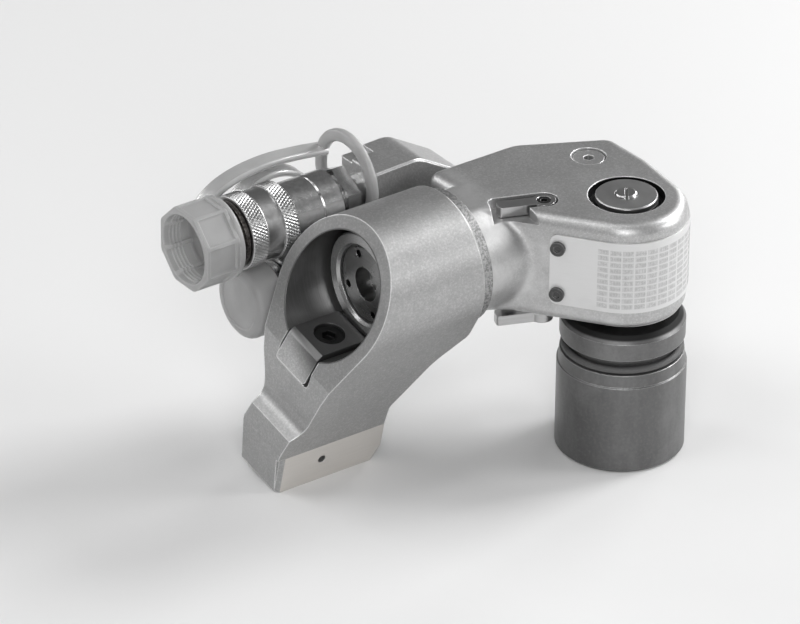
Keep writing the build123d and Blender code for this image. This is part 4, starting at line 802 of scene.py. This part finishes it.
def strap_parts(points):
    """Closed mesh of a band whose middle follows the points."""
    line = smooth_line(points, STRAP_STEPS)
    section = strap_section()
    verts = []
    for i, place in enumerate(line):
        run = (line[min(i + 1, len(line) - 1)] - line[max(i - 1, 0)]).normalized()
        wide = (STRAP_ACROSS - run * STRAP_ACROSS.dot(run)).normalized()
        thick = run.cross(wide)
        for a, b in section:
            verts.append(place + wide * a + thick * b)
    faces = grid_faces(len(line), len(section), False)
    count = len(section)
    faces.append(tuple(reversed(range(count))))
    faces.append(tuple(range((len(line) - 1) * count, len(line) * count)))
    return verts, faces


def ring_parts(centre):
    """Closed mesh of a strap's ring, flat with round edges."""
    lip = RING_LIP
    small = RING_CORNER
    profile = [
        (RING_FRONT, RING_IN + lip), (RING_FRONT, RING_OUT - lip), (RING_FRONT + small, RING_OUT - small),
        (RING_FRONT + lip, RING_OUT), (RING_BACK - lip, RING_OUT), (RING_BACK - small, RING_OUT - small),
        (RING_BACK, RING_OUT - lip), (RING_BACK, RING_IN + lip), (RING_BACK - small, RING_IN + small),
        (RING_BACK - lip, RING_IN), (RING_FRONT + lip, RING_IN), (RING_FRONT + small, RING_IN + small)]
    return turned_parts(centre, profile, 120)


def make_strap(name, centre, side, line):
    """Ring and band in one piece. The line lists (x, z) of the band's middle in millimetres, from its cap."""
    points, faces = ring_parts(centre)
    band, band_faces = strap_parts([Vector((x * MM, side, z * MM)) for x, z in line])
    faces = faces + [tuple(i + len(points) for i in face) for face in band_faces]
    obj = add_mesh(name + "_moulded", points + band, faces, None, "cap_plastic", STRAP_SHARP)
    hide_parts(name)
    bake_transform(obj)


def make_straps():
    line = [(-127.3, 83.0), (-125.9, 88.0), (-124.1, 92.6), (-120.5, 97.2), (-113.9, 101.3),
            (-104.1, 103.9), (-92.0, 104.7), (-78.6, 103.6), (-68.8, 102.2)]
    make_strap("cap_strap_a", RING_A, STRAP_A_SIDE, line)
    line = [(-111.6, 58.8), (-112.6, 76.8), (-109.5, 91.5), (-101.5, 98.8), (-91.0, 100.4),
            (-80.5, 95.6), (-74.3, 84.0), (-68.8, 68.0)]
    make_strap("cap_strap_b", RING_B, STRAP_B_SIDE, line)


# Numbers on the data plate

NOSE = (-1.0, -0.7)
NOSE_R = 23.0
WALL_DIR = math.radians(216.87)
PLATE_OUT = 0.7
TABLE_START = -3.4
TABLE_TOP = 93.6
ROW_PITCH = 2.45
ROW_COUNT = 10
COLUMN_COUNT = 11
COLUMN_PITCH = 4.6
COLUMN_GAP = 0.55
ROW_GAP = 0.45
DIGIT_SIZE = 1.9
DIGIT_STEP = 1.0
DIGIT_HALF_THICK = 0.015
DIGIT_OUT = 0.03
DIGIT_FOOT = 0.35
CELL_OUT = 0.012
CELL_BENDS = 4


def on_plate(run, height, out):
    """Point in metres on the plate: run is how far round from the end of its flat part, in millimetres."""
    reach = NOSE_R + PLATE_OUT + out
    angle = WALL_DIR
    back = 0.0
    if run > 0:
        angle += run / reach
    else:
        back = -run
    x = NOSE[0] + reach * math.cos(angle) + back * math.sin(WALL_DIR)
    y = NOSE[1] + reach * math.sin(angle) - back * math.cos(WALL_DIR)
    return Vector((x, y, height)) * MM


def glyph(letter):
    """Points and faces of one figure, from the built-in font, in millimetres."""
    curve = bpy.data.curves.new("figure", "FONT")
    curve.body = letter
    curve.size = DIGIT_SIZE
    curve.resolution_u = 2
    curve.extrude = DIGIT_HALF_THICK
    obj = bpy.data.objects.new("figure", curve)
    bpy.context.collection.objects.link(obj)
    bpy.context.view_layer.update()
    mesh = bpy.data.meshes.new_from_object(obj)
    points = [tuple(v.co) for v in mesh.vertices]
    faces = [tuple(f.vertices) for f in mesh.polygons]
    bpy.data.objects.remove(obj)
    bpy.data.curves.remove(curve)
    bpy.data.meshes.remove(mesh)
    return points, faces


def table_cells():
    """Low panels behind the figures, one for each cell, bent round the plate."""
    verts = []
    faces = []
    for row in range(ROW_COUNT):
        top = TABLE_TOP - ROW_PITCH * row
        for column in range(COLUMN_COUNT):
            start = TABLE_START + COLUMN_PITCH * column
            first = len(verts)
            for i in range(CELL_BENDS + 1):
                run = start + (COLUMN_PITCH - COLUMN_GAP) * i / CELL_BENDS
                for height in (top, top - ROW_PITCH + ROW_GAP):
                    verts += [on_plate(run, height, CELL_OUT), on_plate(run, height, 0.0)]
            for i in range(CELL_BENDS):
                a = first + 4 * i
                b = a + 4
                faces += [(a, b, b + 2, a + 2), (a, a + 1, b + 1, b), (a + 2, b + 2, b + 3, a + 3),
                          (a + 1, a + 3, b + 3, b + 1)]
            faces += [(first, first + 2, first + 3, first + 1), (b, b + 1, b + 3, b + 2)]
    return verts, faces


def table_figures():
    """Plain figures, three or four in a cell, raised a hair above the plate."""
    glyphs = {str(d): glyph(str(d)) for d in range(10)}
    verts = []
    faces = []
    for row in range(ROW_COUNT):
        height = TABLE_TOP - ROW_PITCH * (row + 1) + ROW_GAP + DIGIT_FOOT
        for column in range(COLUMN_COUNT):
            word = str(((row + 2) * (column + 3) * 137 + 1000) % 9000 + 1000)[:3 + column % 2]
            run = TABLE_START + COLUMN_PITCH * column + 0.25 + (0.0 if column % 2 else 0.5)
            for letter in word:
                points, quads = glyphs[letter]
                first = len(verts)
                verts += [on_plate(run + x, height + y, DIGIT_OUT + h) for x, y, h in points]
                faces += [tuple(i + first for i in face) for face in quads]
                run += DIGIT_STEP
    return verts, faces


def make_table():
    prints = [("plate_cells", table_cells(), 0.62), ("plate_figures", table_figures(), 0.50)]
    for name, (verts, faces), level in prints:
        obj = add_mesh(name, verts, faces, "head", "label_silver")
        obj.data.materials[0] = print_ink(name + "_ink", level)


# Stage

FLOOR_HALF = 6.0
EVEN_LEVEL = 0.06
ROOM_LEVEL = 0.15
MIDDLE = Vector((-0.05, 0.03, 0.06))
LAMP_DISTANCE = 1.5
LAMP_SIZE = 0.48


def floor_material():
    """Pale floor that shows as near white to the camera and keeps soft shadows."""
    n = Nodes("floor_paper")
    cloud = n.noise(2.0, 2.0)
    tone = n.mix(cloud, grey(0.80), grey(0.82))
    n.principled(Base_Color=tone, Roughness=0.9)
    return n.mat


def make_floor():
    half = FLOOR_HALF
    corners = [(-half, -half, 0), (half, -half, 0), (half, half, 0), (-half, half, 0)]
    mesh = bpy.data.meshes.new("floor")
    mesh.from_pydata(corners, [], [(0, 1, 2, 3)])
    floor = bpy.data.objects.new("floor", mesh)
    bpy.context.collection.objects.link(floor)
    mesh.materials.append(floor_material())


def make_world():
    """Dim even light, with a paler room for metal and clear plastic to show."""
    world = bpy.data.worlds.new("studio")
    bpy.context.scene.world = world
    world.use_nodes = True
    tree = world.node_tree
    path = tree.nodes.new("ShaderNodeLightPath")
    shown = tree.nodes.new("ShaderNodeMath")
    shown.operation = "MAXIMUM"
    tree.links.new(path.outputs["Is Glossy Ray"], shown.inputs[0])
    tree.links.new(path.outputs["Is Transmission Ray"], shown.inputs[1])
    level = tree.nodes.new("ShaderNodeMapRange")
    tree.links.new(shown.outputs["Value"], level.inputs["Value"])
    level.inputs["To Min"].default_value = EVEN_LEVEL
    level.inputs["To Max"].default_value = ROOM_LEVEL
    background = tree.nodes["Background"]
    background.inputs["Color"].default_value = (1, 1, 1, 1)
    tree.links.new(level.outputs["Result"], background.inputs["Strength"])


def area_light(name, place, power):
    """Square lamp that points at the middle of the object."""
    lamp = bpy.data.lights.new(name, "AREA")
    lamp.shape = "RECTANGLE"
    lamp.size = LAMP_SIZE
    lamp.size_y = LAMP_SIZE
    lamp.energy = power
    obj = bpy.data.objects.new(name, lamp)
    bpy.context.collection.objects.link(obj)
    obj.location = place
    obj.rotation_euler = (MIDDLE - place).to_track_quat("-Z", "Y").to_euler()


def studio_place(turn, rise):
    """Lamp's place, in degrees: turn 0 is on the camera's side and 90 on its right, rise is its height."""
    right = Vector((CAM_RIGHT[0], CAM_RIGHT[1], 0)).normalized()
    near = Vector((-CAM_LOOK[0], -CAM_LOOK[1], 0)).normalized()
    flat = near * math.cos(math.radians(turn)) + right * math.sin(math.radians(turn))
    high = math.radians(rise)
    return MIDDLE + (flat * math.cos(high) + Vector((0, 0, math.sin(high)))) * LAMP_DISTANCE


def make_lights():
    """Soft lamps as (name, turn, rise, power), strongest behind on the right."""
    lamps = [
        ("back_right", 120, 38, 12.5), ("low_right", 90, 18, 8.0), ("low_back", 150, 18, 4.5),
        ("front", 0, 38, 4.5), ("low_front", 3, 18, 4.0), ("high_left", -60, 62, 3.5),
        ("low_left", -115, 20, 4.3), ("left", -90, 38, 2.8), ("top", 0, 90, 1.6)]
    for name, turn, rise, power in lamps:
        area_light(name, studio_place(turn, rise), power)


def make_camera():
    cam = bpy.data.cameras.new("camera")
    cam.sensor_width = SENSOR
    cam.lens = SENSOR * CAM_FOCAL / IMAGE_WIDTH
    cam.clip_end = 50.0
    obj = bpy.data.objects.new("camera", cam)
    bpy.context.collection.objects.link(obj)
    rows = Matrix((CAM_RIGHT, CAM_UP, [-a for a in CAM_LOOK])).transposed()
    obj.matrix_world = Matrix.Translation(Vector(CAM_PLACE) * MM) @ rows.to_4x4()
    bpy.context.scene.camera = obj


mats = make_materials()
dress_nodes()
make_collars()
make_springs()
make_cap_a()
make_cap_b()
make_straps()
make_table()
make_floor()
make_world()
make_lights()
make_camera()
bpy.context.scene.view_settings.view_transform = "Standard"
